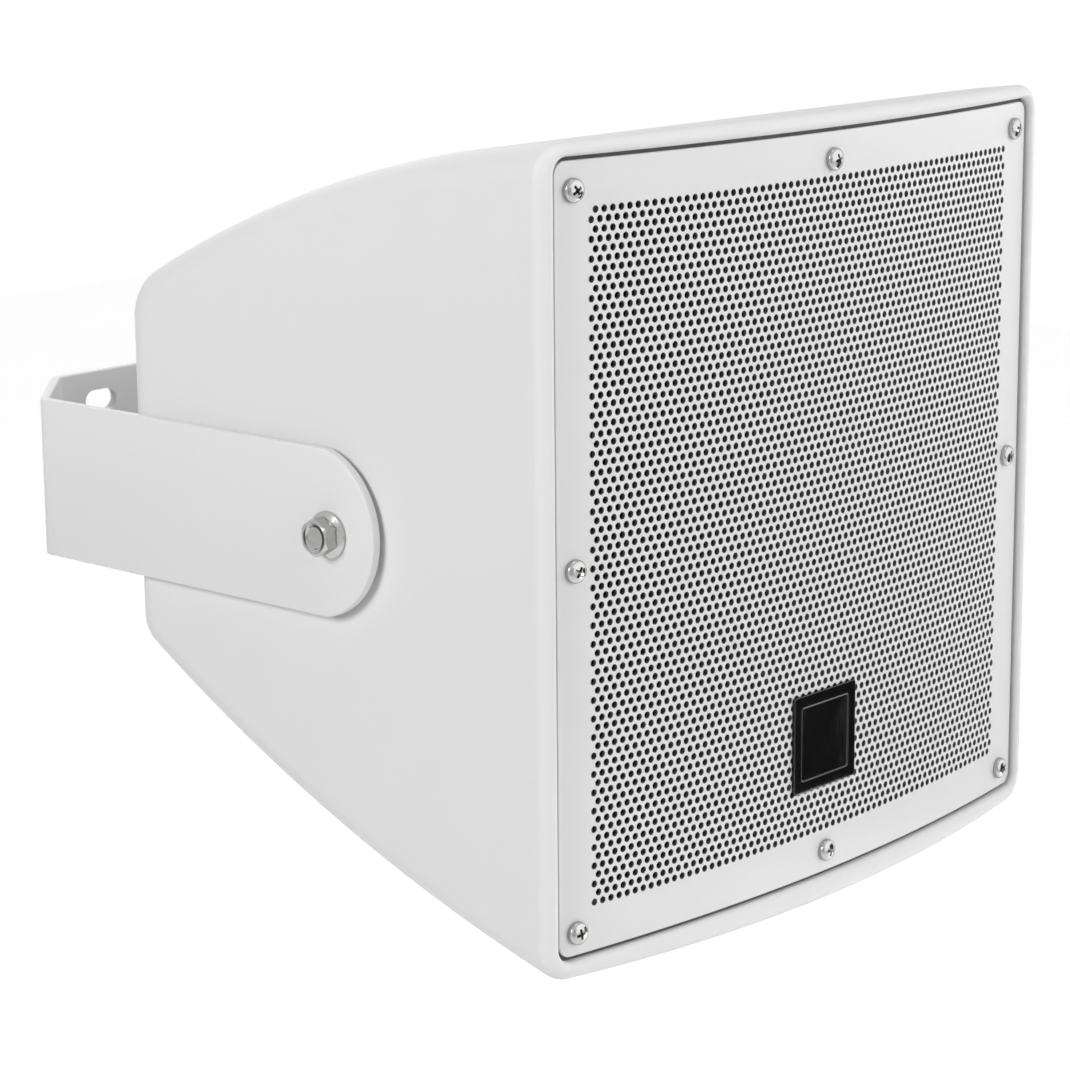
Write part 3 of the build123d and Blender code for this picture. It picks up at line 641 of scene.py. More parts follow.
def rear_opening():
    """Tool for the opening behind the input plate."""
    width, _, height = input_size - 2 * opening_inset
    x, z = rounded_outline(width, height, opening_r, opening_steps).T
    depths = (rear_y - 2 * wall, rear_y + wall)
    loops = [columns(x + input_middle[0], y, z + input_middle[2]) for y in depths]
    return lofted("rear_opening_tool", loops)


def pivot_hole(side):
    """Tool for the hole that a pivot insert sits in."""
    loops = rings([(pivot_hole_r, -2 * wall), (pivot_hole_r, wall)], turn(round_points))
    places = [placed(loop, (side * side_x, pivot_y, 0), (side, 0, 0)) for loop in loops]
    return lofted("pivot_hole_tool", places)


# Plates cut from sheet
def finer(outline, step):
    """Adds points along an outline so that no side is longer than step."""
    points = []
    for start, end in zip(outline, np.roll(outline, -1, axis=0)):
        count = max(1, int(np.ceil(hypot(*(end - start)) / step)))
        points.append(start + (end - start) * np.arange(count)[:, None] / count)
    return np.concatenate(points)


def drawn_in(outline, amount):
    """Outline of a counter-clockwise convex shape drawn in by an amount."""
    before = outline - np.roll(outline, 1, axis=0)
    after = np.roll(outline, -1, axis=0) - outline
    before /= np.linalg.norm(before, axis=1)[:, None]
    after /= np.linalg.norm(after, axis=1)[:, None]
    normal = columns(-(before + after)[:, 1], (before + after)[:, 0])
    scale = 2 / np.maximum(tolerance, (normal**2).sum(axis=1))
    return outline + amount * normal * scale[:, None]


def sheet_triangles(loops, crossings):
    """Triangles between the first loop and the holes in it. Crossings are edges where the sheet bends."""
    counts = [len(points) for points in loops]
    first = np.cumsum([0] + counts).tolist()
    owner = np.repeat(np.arange(len(loops)), counts)
    sides = []
    for start, count in zip(first, counts):
        sides += [(start + i, start + (i + 1) % count) for i in range(count)]
    points = [Vector(point) for point in np.concatenate(loops)]
    made = delaunay_2d_cdt(points, [*sides, *crossings], [], 0, tolerance)
    source = [original[0] for original in made[3]]
    triangles = np.array([[source[i] for i in face] for face in made[2]])
    held = owner[triangles]
    in_hole = (held[:, 0] > 0) & (held[:, 0] == held[:, 1]) & (held[:, 0] == held[:, 2])
    return triangles[~in_hole]


def sheet_piece(name, outline, holes, thickness, edge, place, crossings=()):
    """Flat convex sheet with holes and rounded edges, bent to its place by a function of (u, v, depth)."""
    inner = drawn_in(outline, edge)
    triangles = sheet_triangles([inner, *holes], crossings)
    maker = Maker()

    def at(points, depth):
        return maker.add(place(np.column_stack([points, np.full(len(points), depth)])))

    flat = np.concatenate([inner, *holes])
    front, back = at(flat, 0.0), at(flat, thickness)
    maker.faces += [tuple(t) for t in front[triangles]]
    maker.faces += [tuple(t) for t in back[triangles[:, ::-1]]]
    steps = [(edge * (1 - sin(angle)), edge * (1 - cos(angle))) for angle in quarter(sheet_edge_steps)[1:]]
    walls = [front[: len(inner)]]
    walls += [at(drawn_in(outline, inset), sink) for inset, sink in steps]
    walls += [at(drawn_in(outline, inset), thickness - sink) for inset, sink in reversed(steps)]
    walls.append(back[: len(inner)])
    maker.strips(walls)
    start, done = len(maker.faces), len(inner)
    for hole in holes:
        span = slice(done, done + len(hole))
        maker.strip(front[span], back[span])
        done += len(hole)
    maker.second_from(start)
    return maker.object(name)


# Grille
def on_sheet(points):
    """Bends the flat sheet round the bow: u runs along the arc, depth goes inwards."""
    u, v, depth = points.T
    angle, radius = u / bow_r, bow_r - depth
    return columns(radius * np.sin(angle), bow_y - radius * np.cos(angle), grille_z + v)


def perforation():
    """Octagonal outlines of the staggered holes, apart from those behind the badge."""
    row_pitch = hole_pitch * sqrt(3) / 2
    badge_half = badge_w / 2 + badge_clear
    badge_v = badge_middle[2] - grille_z
    holes = []
    for row in range(-rows_above, rows_below + 1):
        v = -(row - row_lift) * row_pitch + pattern_rise
        shift = row_shift if row % 2 == 0 else -row_shift
        for column in range(holes_per_row):
            u = (column - (holes_per_row - 1) / 2 + shift / 2) * hole_pitch + pattern_shift
            if max(abs(u - badge_middle[0]), abs(v - badge_v)) > badge_half - hole_r:
                holes.append(circle(hole_r, hole_sides, (u, v), pi / hole_sides))
    return holes


def screw_places():
    """Arc length and height of the grille's screws, corners and mid-edges."""
    far_u = bow_r * asin((sheet_w / 2 - screw_inset) / bow_r)
    far_v = sheet_h / 2 - screw_inset
    spots = [(u, v) for u in (-far_u, 0, far_u) for v in (-far_v, 0, far_v) if u or v]
    return [(u + pattern_shift, v - screw_drop) for u, v in spots]


def grille_sheet():
    """Bowed perforated sheet with blank margins."""
    arc_w = 2 * bow_r * asin(sheet_w / 2 / bow_r)
    outline = finer(rounded_outline(arc_w, sheet_h, sheet_corner_r, corner_steps), sheet_step)
    holes = [circle(screw_shank_r, screw_points, spot) for spot in screw_places()] + perforation()
    return sheet_piece("grille_sheet", outline, holes, sheet_t, sheet_edge_r, on_sheet)


# Fasteners
def cross_tool(top):
    """Tool for a cross recess that starts above the head's top and narrows downwards."""
    half, arm = cross_w / 2, cross_span / 2
    outline = [np.array([(arm, half), (half, half), (half, arm)])]
    quarter_turn = np.array([[0, 1], [-1, 0]])
    for _ in range(3):
        outline.append(outline[-1] @ quarter_turn)
    outline = np.concatenate(outline)
    loops = []
    for height, scale in ((top + cross_over, cross_flare), (top - cross_depth, cross_taper)):
        loops.append(np.column_stack([outline * scale, np.full(len(outline), height)]))
    return lofted("cross_tool", loops)


def pan_screw(head_r, head_h, shank_r, shank_l):
    """Points and faces of a pan-head screw with a cross recess, its seat at the origin."""
    profile = [(shank_r, -shank_l), (shank_r, 0), (head_r - screw_edge, 0)]
    profile += [(head_r, screw_edge), (head_r, screw_side_h)]
    for angle in quarter(dome_steps)[1:-1]:
        rise = (head_h - screw_side_h) * sin(angle) ** screw_dome
        profile.append((head_r * cos(angle), screw_side_h + rise))
    screw = lofted("screw_pattern", rings(profile, turn(round_points)))
    cut(screw, cross_tool(head_h))
    points = np.array([v.co for v in screw.data.vertices]) / MM
    faces = [tuple(p.vertices) for p in screw.data.polygons]
    bpy.data.meshes.remove(screw.data)
    return points, faces


def copies(name, pattern, places, sharp):
    """One object of several copies of a pattern, each at (origin, axis, spin)."""
    points, faces = pattern
    maker = Maker()
    for origin, axis, spin in places:
        numbers = maker.add(placed(points, origin, axis, spin))
        maker.faces += [tuple(numbers[list(face)]) for face in faces]
    return maker.object(name, sharp)


def grille_screws():
    """Stainless pan-head screws on the grille's face."""
    places = []
    for (u, v), spin in zip(screw_places(), screw_turns):
        angle = u / bow_r
        origin = (bow_r * sin(angle), bow_y - bow_r * cos(angle), grille_z + v)
        places.append((origin, (sin(angle), -cos(angle), 0), spin))
    pattern = pan_screw(screw_head_r, screw_head_h, screw_shank_r, screw_shank_l)
    return copies("grille_screws_fine", pattern, places, screw_sharp_angle)


def flange_bolt():
    """Points and faces of a flange bolt with a chamfered, dished six-sided head."""
    angles = turn(bolt_points)
    side = hex_radius(bolt_hex, angles)
    chamfer_r = bolt_chamfer * bolt_hex / 2
    drop = (side - chamfer_r) * tan(radians(chamfer_angle))
    base = bolt_flange_t + bolt_flange_rise
    profile = [
        (bolt_shank_r, -strap_t),
        (bolt_shank_r, 0),
        (bolt_flange_r - bolt_seat_edge, 0),
        (bolt_flange_r, bolt_seat_edge),
        (bolt_flange_r, bolt_flange_t - bolt_flange_edge),
        (bolt_flange_r - bolt_flange_edge, bolt_flange_t),
        (side + bolt_foot, base - bolt_foot_sink),
        (side, base - bolt_foot_sink + bolt_foot),
        (side, bolt_head_h - drop - bolt_edge_h),
        (side - bolt_edge_w, bolt_head_h - drop),
        (chamfer_r, bolt_head_h),
        (bolt_dish_r + bolt_dish_lip, bolt_head_h),
        (bolt_dish_r + bolt_dish_edge_w, bolt_head_h - bolt_dish_edge_h),
        (bolt_dish_r - bolt_dish_slope, bolt_head_h - bolt_dish),
        (bolt_dish_middle, bolt_head_h - bolt_dish),
    ]
    maker = Maker()
    maker.loft(rings(profile, angles))
    return np.array(maker.points), maker.faces


def bracket_bolts():
    """Flange bolts that clamp the bracket's arms."""
    places = [((s * arm_out, pivot_y, 0), (s, 0, 0), spin) for s, spin in zip((-1, 1), bolt_turns)]
    return copies("bracket_bolts_fine", flange_bolt(), places, bolt_sharp_angle)


# Bracket
def strap_path():
    """Stretches of the strap's outer face from one arm's end to the other: length, and whether it bends."""
    reach = strap_bend_r * tan(bend_angle / 2)
    arm = (-corner_cut - nose_y - reach, False)
    slant = (corner_cut * sqrt(2) - 2 * reach, False)
    back = (2 * (arm_out - corner_cut) - 2 * reach, False)
    bend = (strap_bend_r * bend_angle, True)
    return [arm, bend, slant, bend, back, bend, slant, bend, arm]


def on_strap(points):
    """Bends the flat strap into the bracket: u runs along it, v is up, depth goes inwards."""
    u, v, depth = points.T
    place = np.zeros((len(points), 3))
    place[:, 2] = v
    start, heading, done = np.array((-arm_out, nose_y)), pi / 2, 0.0
    for length, bends in strap_path():
        ahead = np.array((cos(heading), sin(heading)))
        right = np.array((sin(heading), -cos(heading)))
        here = (u >= done - tolerance) & (u <= done + length + tolerance)
        along = (u[here] - done)[:, None]
        inwards = depth[here][:, None]
        if bends:
            angle = along / strap_bend_r
            middle = start + right * strap_bend_r
            arm = (strap_bend_r - inwards) * (np.sin(angle) * ahead - np.cos(angle) * right)
            place[here, :2] = middle + arm
            start = middle + strap_bend_r * (sin(bend_angle) * ahead - cos(bend_angle) * right)
            heading -= bend_angle
        else:
            place[here, :2] = start + along * ahead + inwards * right
            start = start + length * ahead
        done += length
    return place


def wall_slot(centre):
    """Outline of a wall slot with round ends that runs along the strap."""
    return rounded_outline(slot_l, slot_w, (slot_w - slot_flat) / 2, slot_steps) + np.array(centre)


def bracket_strap():
    """Strap bracket with rounded arm ends, wall slots and pivot holes."""
    stations, total = [], 0.0
    for length, bends in strap_path():
        if bends:
            stations += list(np.linspace(total, total + length, bend_steps + 1))
        total += length
    count, half = len(stations), strap_w / 2
    nose_half = asin(half / arm_end_r)
    sweep = np.linspace(-nose_half, nose_half, nose_steps + 1)
    nose = columns(arm_end_r * (1 - np.cos(sweep)), arm_end_r * np.sin(sweep))
    tail = columns(total - nose[:, 0], nose[:, 1])
    low, high = columns(stations, -half), columns(stations, half)
    outline = np.concatenate([low, tail, high[::-1], nose[::-1]])
    crossings = [(i, count + len(tail) + count - 1 - i) for i in range(count)]
    arm_u = pivot_y - nose_y
    holes = [circle(pivot_bore_r, bore_points, (u, 0)) for u in (arm_u, total - arm_u)]
    for du in (-slot_span / 2, slot_span / 2):
        for dv in (-slot_rise / 2, slot_rise / 2):
            holes.append(wall_slot((total / 2 + du, dv)))
    return sheet_piece("bracket_strap", outline, holes, strap_t, strap_edge_r, on_strap, crossings)


# Badge, input plate and gland
def badge_plate():
    """Plain square badge with a raised border, its back on the bowed sheet."""
    front = badge_low[1]
    inner = badge_w - 2 * badge_frame

    def square(width, depth=None):
        outline = rounded_outline(width, width, badge_corner_r, badge_steps)
        x = badge_middle[0] + outline[:, 0]
        y = bow(x, bow_r) if depth is None else depth
        return columns(x, y, badge_middle[2] + outline[:, 1])

    loops = [square(badge_w)]
    for angle in quarter(badge_edge_steps):
        shrink = badge_edge_r * (1 - cos(angle))
        loops.append(square(badge_w - 2 * shrink, front + badge_edge_r * (1 - sin(angle))))
    slope = [(0.0, 0.0), (badge_slope_w, badge_slope_h)]
    slope += [(badge_slope - shrink, badge_sink - sink) for shrink, sink in reversed(slope)]
    loops += [square(inner - 2 * shrink, front + sink) for shrink, sink in slope]
    return lofted("badge_plate", loops)


def input_screw_spots():
    """Places of the input plate's screws, across and up."""
    half = input_size / 2 - input_screw_inset
    return [(sx * half[0], input_middle[2] + sz * half[2]) for sx in (-1, 1) for sz in (-1, 1)]


def input_panel():
    """Rear input plate with rounded edges and the gland's hole."""

    def on_rear(points):
        u, v, depth = points.T
        return columns(-u, input_high[1] - depth, input_middle[2] + v)

    outline = rounded_outline(input_size[0], input_size[2], input_corner_r, corner_steps)
    holes = [circle(gland_thread_r, round_points, (-cap_middle[0], 0))]
    for x, z in input_screw_spots():
        holes.append(circle(input_screw_r, screw_points, (-x, z - input_middle[2])))
    return sheet_piece("input_panel", outline, holes, input_size[1], input_edge_r, on_rear)


def input_screws():
    """Stainless screws that hold the input plate."""
    pattern = pan_screw(input_head_r, input_head_h, input_screw_r, input_size[1])
    places = []
    for (x, z), spin in zip(input_screw_spots(), screw_turns):
        places.append(((x, input_high[1], z), (0, 1, 0), spin))
    return copies("input_screws_fine", pattern, places, screw_sharp_angle)


def gland_piece(name, profile, angles, foot_y):
    """Tube of rings on the gland's axis, with heights from a foot towards the wall."""
    origin = (cap_middle[0], foot_y, cap_middle[2])
    return lofted(name, [placed(loop, origin, (0, 1, 0)) for loop in rings(profile, angles)], caps=False)


def gland_foot():
    """Gland body with a chamfered six-sided foot."""
    angles = turn(gland_points)
    side = hex_radius(gland_flats, angles)
    foot_r = gland_chamfer * gland_flats / 2
    drop = np.maximum(0, side - foot_r) * tan(radians(chamfer_angle))
    collar = gland_hex_t + gland_collar_l
    tail = rear_y - gland_tail_l - input_high[1]
    profile = [
        (gland_bore_r, tail),
        (gland_thread_r, tail),
        (gland_thread_r, 0),
        (side, 0),
        (side, gland_hex_t - drop),
        (foot_r, gland_hex_t),
        (gland_thread_r, gland_hex_t),
        (gland_thread_r, collar),
        (gland_bore_r, collar),
        (gland_bore_r, tail),
    ]
    return gland_piece("gland_foot", profile, angles, input_high[1])


def gland_nut():
    """Fluted dome nut of the gland."""
    angles = turn(gland_points)
    wave = np.clip(np.cos(cap_flutes * angles) * cap_flute_sharp, -1, 1)
    flute = wave * cap_flute / 2 - cap_flute / 2
    cap_r, length = cap_size[0] / 2, cap_size[1]
    bore_r = gland_thread_r + gland_play
    profile = [
        (bore_r, 0),
        (cap_r - cap_edge, 0),
        (cap_r, cap_edge),
        (cap_r, cap_band),
        (cap_r + flute, cap_band + cap_flute_start),
        (cap_r + flute, cap_grip * length),
    ]
    profile += [(cap_r - inwards + flute * fluted, share * length) for inwards, share, fluted in cap_dome]
    profile += [
        (cap_mouth_r + cap_mouth_edge, length),
        (cap_mouth_r, length - cap_mouth_edge),
        (cap_mouth_r, gland_collar_l),
        (bore_r, gland_collar_l),
        (bore_r, 0),
    ]
    return gland_piece("gland_dome_nut", profile, angles, cap_low[1])


# Surround and spider
def flexible_ring(node, section, low, high):
    """Ring round the driver's axis in sectors: still outside one radius, with the cone inside the other.

    The section is a closed line of radii and heights in front of the ring's back.
    """
    half = pi / flex_sectors
    centre = np.array(((low[0] + high[0]) / 2, high[1], (low[2] + high[2]) / 2))
    radius, height = section.T
    for number in range(flex_sectors):
        middle = (2 * number + 1) * half
        loops = []
        for angle in np.linspace(middle - half, middle + half, flex_sections):
            loops.append(centre + columns(radius * cos(angle), -height, radius * sin(angle)))
        piece = lofted(f"{node}_{number + 1}", loops)
        piece.data.materials.append(paints[slots[node]])
        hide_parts(node)
        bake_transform(piece)


def surround():
    """Half-roll surround, glued to the basket outside and to the cone inside."""
    out_r = surround_high[0] - glue_gap
    roll_out = surround_high[0] - surround_land
    roll_mid = roll_out - surround_roll_r
    roll_in = roll_mid - surround_roll_r
    in_r = roll_in - surround_land + glue_gap
    thick_r = surround_roll_r + surround_t
    back_tilt = asin(glue_gap / surround_roll_r)
    front_tilt = asin(surround_t / thick_r)
    back = arc((roll_mid, 0), surround_roll_r, np.linspace(back_tilt, pi - back_tilt, roll_steps + 1))
    front = arc((roll_mid, 0), thick_r, np.linspace(pi - front_tilt, front_tilt, roll_steps + 1))
    inside = [(in_r, glue_gap), (in_r, surround_t)]
    section = np.concatenate([[(out_r, glue_gap)], back, inside, front, [(out_r, surround_t)]])
    flexible_ring("woofer_surround", section, surround_low, surround_high)


def spider():
    """Corrugated disc, glued to the basket outside and to the coil's former inside."""
    out_r = spider_high[0] - glue_gap
    land_r = spider_high[0] - spider_seat_w
    last_r = spider_in_r + spider_lip
    crests = np.linspace(land_r, last_r, 2 * spider_waves + 1)
    line = [(out_r, 0.0)]
    line += [(radius, spider_wave_h * (step % 2)) for step, radius in enumerate(crests)]
    line.append((spider_in_r, 0.0))
    back = [(radius, height + glue_gap) for radius, height in line]
    front = [(radius, height + spider_t) for radius, height in reversed(line)]
    flexible_ring("woofer_spider", np.array(back + front), spider_low, spider_high)


# Materials
def grey(level):
    """Colour of three equal parts."""
    return (level, level, level)


def shade_of(color, factor):
    """A colour made lighter or darker."""
    return tuple(min(1.0, c * factor) for c in color)


def shader(name, color, roughness, metallic=0.0):
    """New material with its node tree, main shader and the object's own coordinates."""
    material = bpy.data.materials.new(name)
    material.use_nodes = True
    nodes = material.node_tree.nodes
    main = nodes["Principled BSDF"]
    main.inputs["Base Color"].default_value = (*color, 1)
    main.inputs["Roughness"].default_value = roughness
    main.inputs["Metallic"].default_value = metallic
    place = nodes.new("ShaderNodeTexCoord")
    return material, material.node_tree, main, place.outputs["Object"]


def add_node(tree, kind, sockets, **settings):
    """New node with its settings, and with each of the named sockets linked or set to a value."""
    node = tree.nodes.new(kind)
    for name, value in settings.items():
        setattr(node, name, value)
    for name, value in sockets.items():
        if isinstance(value, bpy.types.NodeSocket):
            tree.links.new(value, node.inputs[name])
        else:
            node.inputs[name].default_value = value
    return node


def noise(tree, place, grain, detail=4.0, stretch=None):
    """Noise whose grains are about that many millimetres across, stretched by a factor along each axis."""
    if stretch:
        mapping = add_node(tree, "ShaderNodeMapping", {"Scale": stretch, "Vector": place})
        place = mapping.outputs["Vector"]
    sockets = {"Scale": 1 / (grain * MM), "Detail": detail, "Roughness": noise_roughness, "Vector": place}
    return add_node(tree, "ShaderNodeTexNoise", sockets).outputs["Fac"]


def map_range(tree, value, source, target, curve="LINEAR"):
    """Maps a value from one range to another."""
    sockets = dict(zip(("From Min", "From Max", "To Min", "To Max"), (*source, *target)))
    sockets["Value"] = value
    return add_node(tree, "ShaderNodeMapRange", sockets, interpolation_type=curve).outputs["Result"]


def spread(tree, value, low, high):
    """Maps a value's middle range to low and high."""
    return map_range(tree, value, (noise_low, noise_high), (low, high))


def two_tone(tree, main, value, first, second):
    """Base colour that drifts between two tones with a value."""
    sockets = {"A": (*first, 1), "B": (*second, 1), "Factor": spread(tree, value, 0.0, 1.0)}
    mix = add_node(tree, "ShaderNodeMix", sockets, data_type="RGBA")
    tree.links.new(mix.outputs["Result"], main.inputs["Base Color"])


def bumps(tree, main, value, height):
    """Fine relief of a height in millimetres."""
    sockets = {"Strength": 1.0, "Distance": height * MM, "Height": value}
    node = add_node(tree, "ShaderNodeBump", sockets)
    tree.links.new(node.outputs["Normal"], main.inputs["Normal"])


def surface(
    name, color, roughness, drift=0.03, patch=60.0, grain=1.0, relief=0.01, metallic=0.0, specular=0.5
):
    """Material with drifting tone and gloss over patches, and a relief of fine grains."""
    material, tree, main, place = shader(name, color, roughness, metallic)
    main.inputs["Specular IOR Level"].default_value = specular
    broad = noise(tree, place, patch, detail=3.0)
    two_tone(tree, main, broad, shade_of(color, 1 - drift), shade_of(color, 1 + drift))
    fine = noise(tree, place, grain, detail=3.0)
    gloss = spread(tree, fine, roughness * (1 - gloss_drift), min(1.0, roughness * (1 + gloss_drift)))
    tree.links.new(gloss, main.inputs["Roughness"])
    bumps(tree, main, fine, relief)
    return material


def gloss_black():
    """Gloss black plastic with faint wiping marks."""
    material, tree, main, place = shader("badge_gloss", grey(0.004), 0.12)
    haze = noise(tree, place, 9.0, detail=5.0)
    two_tone(tree, main, haze, grey(0.003), grey(0.006))
    marks = noise(tree, place, 1.2, detail=6.0, stretch=(1.0, 1.0, 0.15))
    tree.links.new(spread(tree, marks, 0.08, 0.17), main.inputs["Roughness"])
    bumps(tree, main, haze, 0.004)
    return material


def open_foam():
    """Black foam with open cells."""
    material, tree, main, place = shader("foam", grey(0.006), 0.95)
    sockets = {"Scale": 1 / (foam_cell * MM), "Vector": place}
    cells = add_node(tree, "ShaderNodeTexVoronoi", sockets).outputs["Distance"]
    two_tone(tree, main, cells, grey(0.003), grey(0.012))
    bumps(tree, main, cells, 0.5)
    main.inputs["Specular IOR Level"].default_value = 0.1
    return material


def wound_wire(name, color):
    """Enamelled wire, wound close."""
    material, tree, main, place = shader(name, color, 0.35, 0.8)
    sockets = {"Scale": 1 / (wire_band * MM), "Vector": place}
    turns = add_node(tree, "ShaderNodeTexWave", sockets, bands_direction="Y").outputs["Fac"]
    two_tone(tree, main, turns, shade_of(color, 0.8), shade_of(color, 1.15))
    bumps(tree, main, turns, 0.15)
    return material


def impregnated_cloth(name, color):
    """Stiffened woven cloth."""
    material, tree, main, place = shader(name, color, 0.8)
    sockets = {"Scale": 1 / (thread_pitch * MM), "Vector": place}
    for name, factor in (("Color1", 0.9), ("Color2", 1.1), ("Mortar", 0.6)):
        sockets[name] = (*shade_of(color, factor), 1)
    weave = add_node(tree, "ShaderNodeTexBrick", sockets)
    tree.links.new(weave.outputs["Color"], main.inputs["Base Color"])
    bumps(tree, main, weave.outputs["Fac"], 0.1)
    return material


def plain_surfaces():
    """Colour, roughness, drift, patch, grain, relief, metal and specular share of the plainer materials."""
    peel = (0.42, 0.008, 70.0, 1.6, 0.012, 0.0, 0.45)  # powder coat with a slight orange peel
    return {
        "cabinet_plastic": (plastic_white, 0.5, 0.008, 90.0, 0.7, 0.012, 0.0, 0.4),
        "bracket_paint": (plastic_white, *peel),
        "grille_paint": (coat_white, *peel),
        "plate_aluminium": (coat_white, *peel),
        "stainless": ((0.43, 0.427, 0.42), 0.17, 0.06, 3.0, 0.25, 0.002, 1.0),
        # Painted shade: the walls of the white grille's holes are dark grey so that the holes look shaded
        "hole_wall_painted_shade": (grey(0.16), 0.7, 0.2, 3.0, 0.5),
        # Painted shade: near-black ledge and sleeve of the recess, darkening the gap round the grille
        "ledge_painted_shade": (grey(0.1), 0.8, 0.15, 4.0, 0.6),
        "washer_nylon": (grey(0.05), 0.5),
        "insert_brass": ((0.62, 0.45, 0.2), 0.3, 0.03, 60.0, 0.3, 0.003, 1.0),
        "baffle_board": ((0.05, 0.045, 0.04), 0.7, 0.25, 2.0, 0.4, 0.05),
        "gasket_rubber": (grey(0.03), 0.85, 0.2, 4.0, 0.5, 0.05),
        "basket_paint": (grey(0.02), 0.45, 0.1, 60.0, 0.8),
        "surround_rubber": (grey(0.025), 0.6, 0.1, 60.0, 0.6),
        "cone_plastic": ((0.04, 0.04, 0.042), 0.6, 0.15, 8.0, 0.8, 0.03),
        "zinc_steel": ((0.5, 0.5, 0.48), 0.35, 0.08, 60.0, 0.4, 0.003, 1.0),
        "ferrite": ((0.06, 0.06, 0.062), 0.55, 0.15, 5.0, 0.5),
        "black_plastic": ((0.025, 0.025, 0.027), 0.5, 0.1, 60.0, 0.6),
        "gland_plastic": (grey(0.3), 0.5, 0.04, 10.0, 0.5),
        "board_green": ((0.03, 0.16, 0.07), 0.4, 0.15, 6.0, 0.4, 0.005),
        "capacitor_film": ((0.45, 0.3, 0.06), 0.3, 0.1, 6.0, 0.6, 0.005),
        "ceramic": ((0.7, 0.68, 0.62), 0.7, 0.06, 2.0, 0.4, 0.02),
    }


def materials():
    """The material of each slot of the record, and the painted shade of the grille's hole walls and of the recess
    ledge.
    """
    made = {
        "badge_gloss": gloss_black(),
        "foam": open_foam(),
        "coil_wire": wound_wire("coil_wire", (0.55, 0.3, 0.16)),
        "copper": wound_wire("copper", (0.6, 0.28, 0.12)),
        "spider_cloth": impregnated_cloth("spider_cloth", (0.5, 0.36, 0.18)),
        "dome_cloth": impregnated_cloth("dome_cloth", (0.06, 0.055, 0.05)),
    }
    for slot, values in plain_surfaces().items():
        made[slot] = surface(slot, *values)
    return made


# Stage
def larger(tree, first, second):
    """The larger of two values."""
    return add_node(tree, "ShaderNodeMath", {0: first, 1: second}, operation="MAXIMUM").outputs[0]


def seen_or_mirrored(tree):
    """One for a ray from the camera or from a gloss, and nought for the light on other surfaces."""
    path = tree.nodes.new("ShaderNodeLightPath")
    return larger(tree, path.outputs["Is Camera Ray"], path.outputs["Is Glossy Ray"])


def build_stage():
    """Pale floor far below the part, which hangs on a wall."""
    height = (cabinet_low[2] - floor_drop) * MM
    bpy.ops.mesh.primitive_plane_add(size=floor_size * MM, location=(0, 0, height))
    floor = bpy.context.object
    floor.name = "floor"
    material, tree, main, place = shader("floor_paint", grey(0.9), 0.9)
    two_tone(tree, main, noise(tree, place, floor_patch), grey(0.89), grey(0.91))
    sockets = {0: seen_or_mirrored(tree), 1: floor_glow}
    strength = add_node(tree, "ShaderNodeMath", sockets, operation="MULTIPLY").outputs[0]
    glow = add_node(tree, "ShaderNodeEmission", {"Color": (1, 1, 1, 1), "Strength": strength})
    both = add_node(tree, "ShaderNodeAddShader", {0: main.outputs[0], 1: glow.outputs[0]})
    tree.links.new(both.outputs[0], tree.nodes["Material Output"].inputs["Surface"])
    floor.data.materials.append(material)


def build_world():
    """Surroundings that look white, and give the part most of their light from the front right."""
    world = bpy.data.worlds.new("surroundings")
    bpy.context.scene.world = world
    world.use_nodes = True
    tree = world.node_tree
    back = tree.nodes["Background"]
    back.inputs["Color"].default_value = (1, 1, 1, 1)
    place = tree.nodes.new("ShaderNodeTexCoord")
    sockets = {0: place.outputs["Generated"], 1: light_from}
    ahead = add_node(tree, "ShaderNodeVectorMath", sockets, operation="DOT_PRODUCT").outputs["Value"]
    level = map_range(tree, ahead, light_fade, (rear_light, front_light), "SMOOTHSTEP")
    tree.links.new(larger(tree, seen_or_mirrored(tree), level), back.inputs["Strength"])


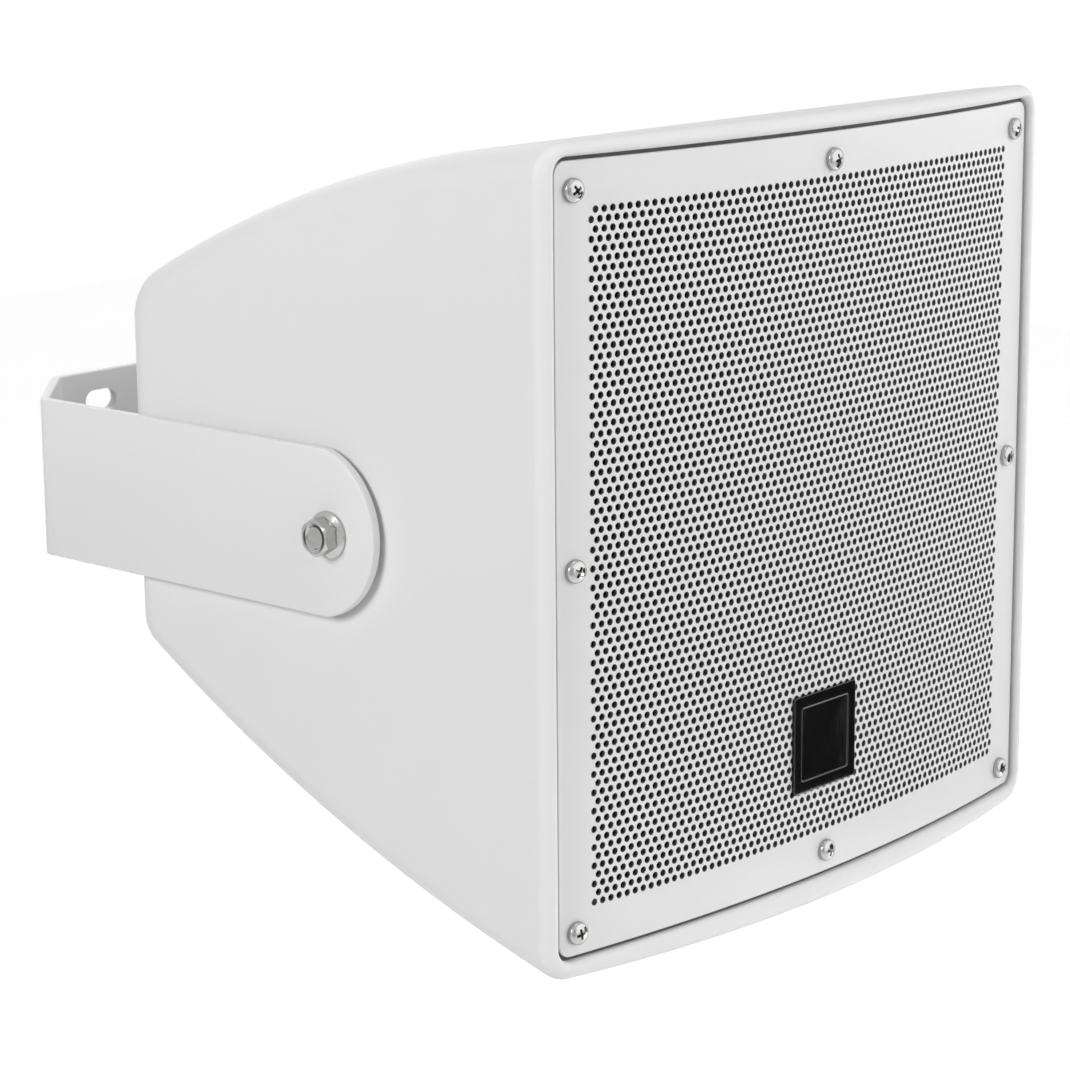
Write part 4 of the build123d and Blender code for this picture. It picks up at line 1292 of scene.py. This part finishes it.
def studio_card(name, place, size, tone):
    """Card beside the part that steel and gloss reflect, and the camera doesn't see."""
    bpy.ops.mesh.primitive_plane_add(size=size * MM, location=Vector(place) * MM)
    card = bpy.context.object
    card.name = name
    card.rotation_mode = "QUATERNION"
    card.rotation_quaternion = (Vector((0, pivot_y, 0)) - Vector(place)).to_track_quat("Z", "Y")
    card.visible_camera = False
    material, tree, main, spot = shader(name, grey(tone), 0.9)
    tones = grey(tone * (1 - card_drift)), grey(tone * (1 + card_drift))
    two_tone(tree, main, noise(tree, spot, card_patch), *tones)
    card.data.materials.append(material)


def soft_lamp(name, place, aim, size, power):
    """Square soft lamp that looks at a point."""
    data = bpy.data.lights.new(name, "AREA")
    data.shape = "SQUARE"
    data.size = size * MM
    data.energy = power
    lamp = bpy.data.objects.new(name, data)
    lamp.location = Vector(place) * MM
    direction = (Vector(aim) - Vector(place)).normalized()
    lamp.rotation_mode = "QUATERNION"
    lamp.rotation_quaternion = direction.to_track_quat("-Z", "Y")
    bpy.context.scene.collection.objects.link(lamp)


def build_camera():
    """Camera at the photograph's place and angle."""
    data = bpy.data.cameras.new("camera")
    data.lens = camera_lens
    data.sensor_width = camera_sensor
    data.clip_end = camera_reach * MM
    camera = bpy.data.objects.new("camera", data)
    az, el = radians(camera_azimuth), radians(camera_elevation)
    ahead = Vector((sin(az) * cos(el), cos(az) * cos(el), -sin(el)))
    camera.location = Vector(camera_place) * MM
    camera.rotation_mode = "QUATERNION"
    camera.rotation_quaternion = Quaternion(ahead, radians(-camera_roll)) @ ahead.to_track_quat("-Z", "Y")
    bpy.context.scene.collection.objects.link(camera)
    bpy.context.scene.camera = camera


# Assembly
paints = materials()
slots = {part["node"]: part["material_slot"] for part in frame["record"]["subparts"]}
for node, slot in slots.items():
    for place in frame["nodes"][node].material_slots:
        place.material = paints[slot]

# The cabinet's recess ledge and sleeve carry painted shade
dress(cabinet_shell(), "cabinet", second=paints["ledge_painted_shade"])
# The grille's hole walls carry painted shade
dress(grille_sheet(), "grille", second=paints["hole_wall_painted_shade"])
dress(grille_screws(), "grille_screws")
dress(badge_plate(), "badge")
dress(bracket_strap(), "bracket", "bracket", second=paints["bracket_paint"])
dress(bracket_bolts(), "bracket_bolts")
dress(input_panel(), "input_plate", second=paints["plate_aluminium"])
dress(input_screws(), "input_screws")
dress(gland_foot(), "gland_body")
dress(gland_nut(), "gland_cap")
surround()
spider()

build_stage()
build_world()
for name, values in lamps.items():
    soft_lamp(name, *values)
for name, values in cards.items():
    studio_card(name, *values)
build_camera()
bpy.context.scene.view_settings.view_transform = "Standard"
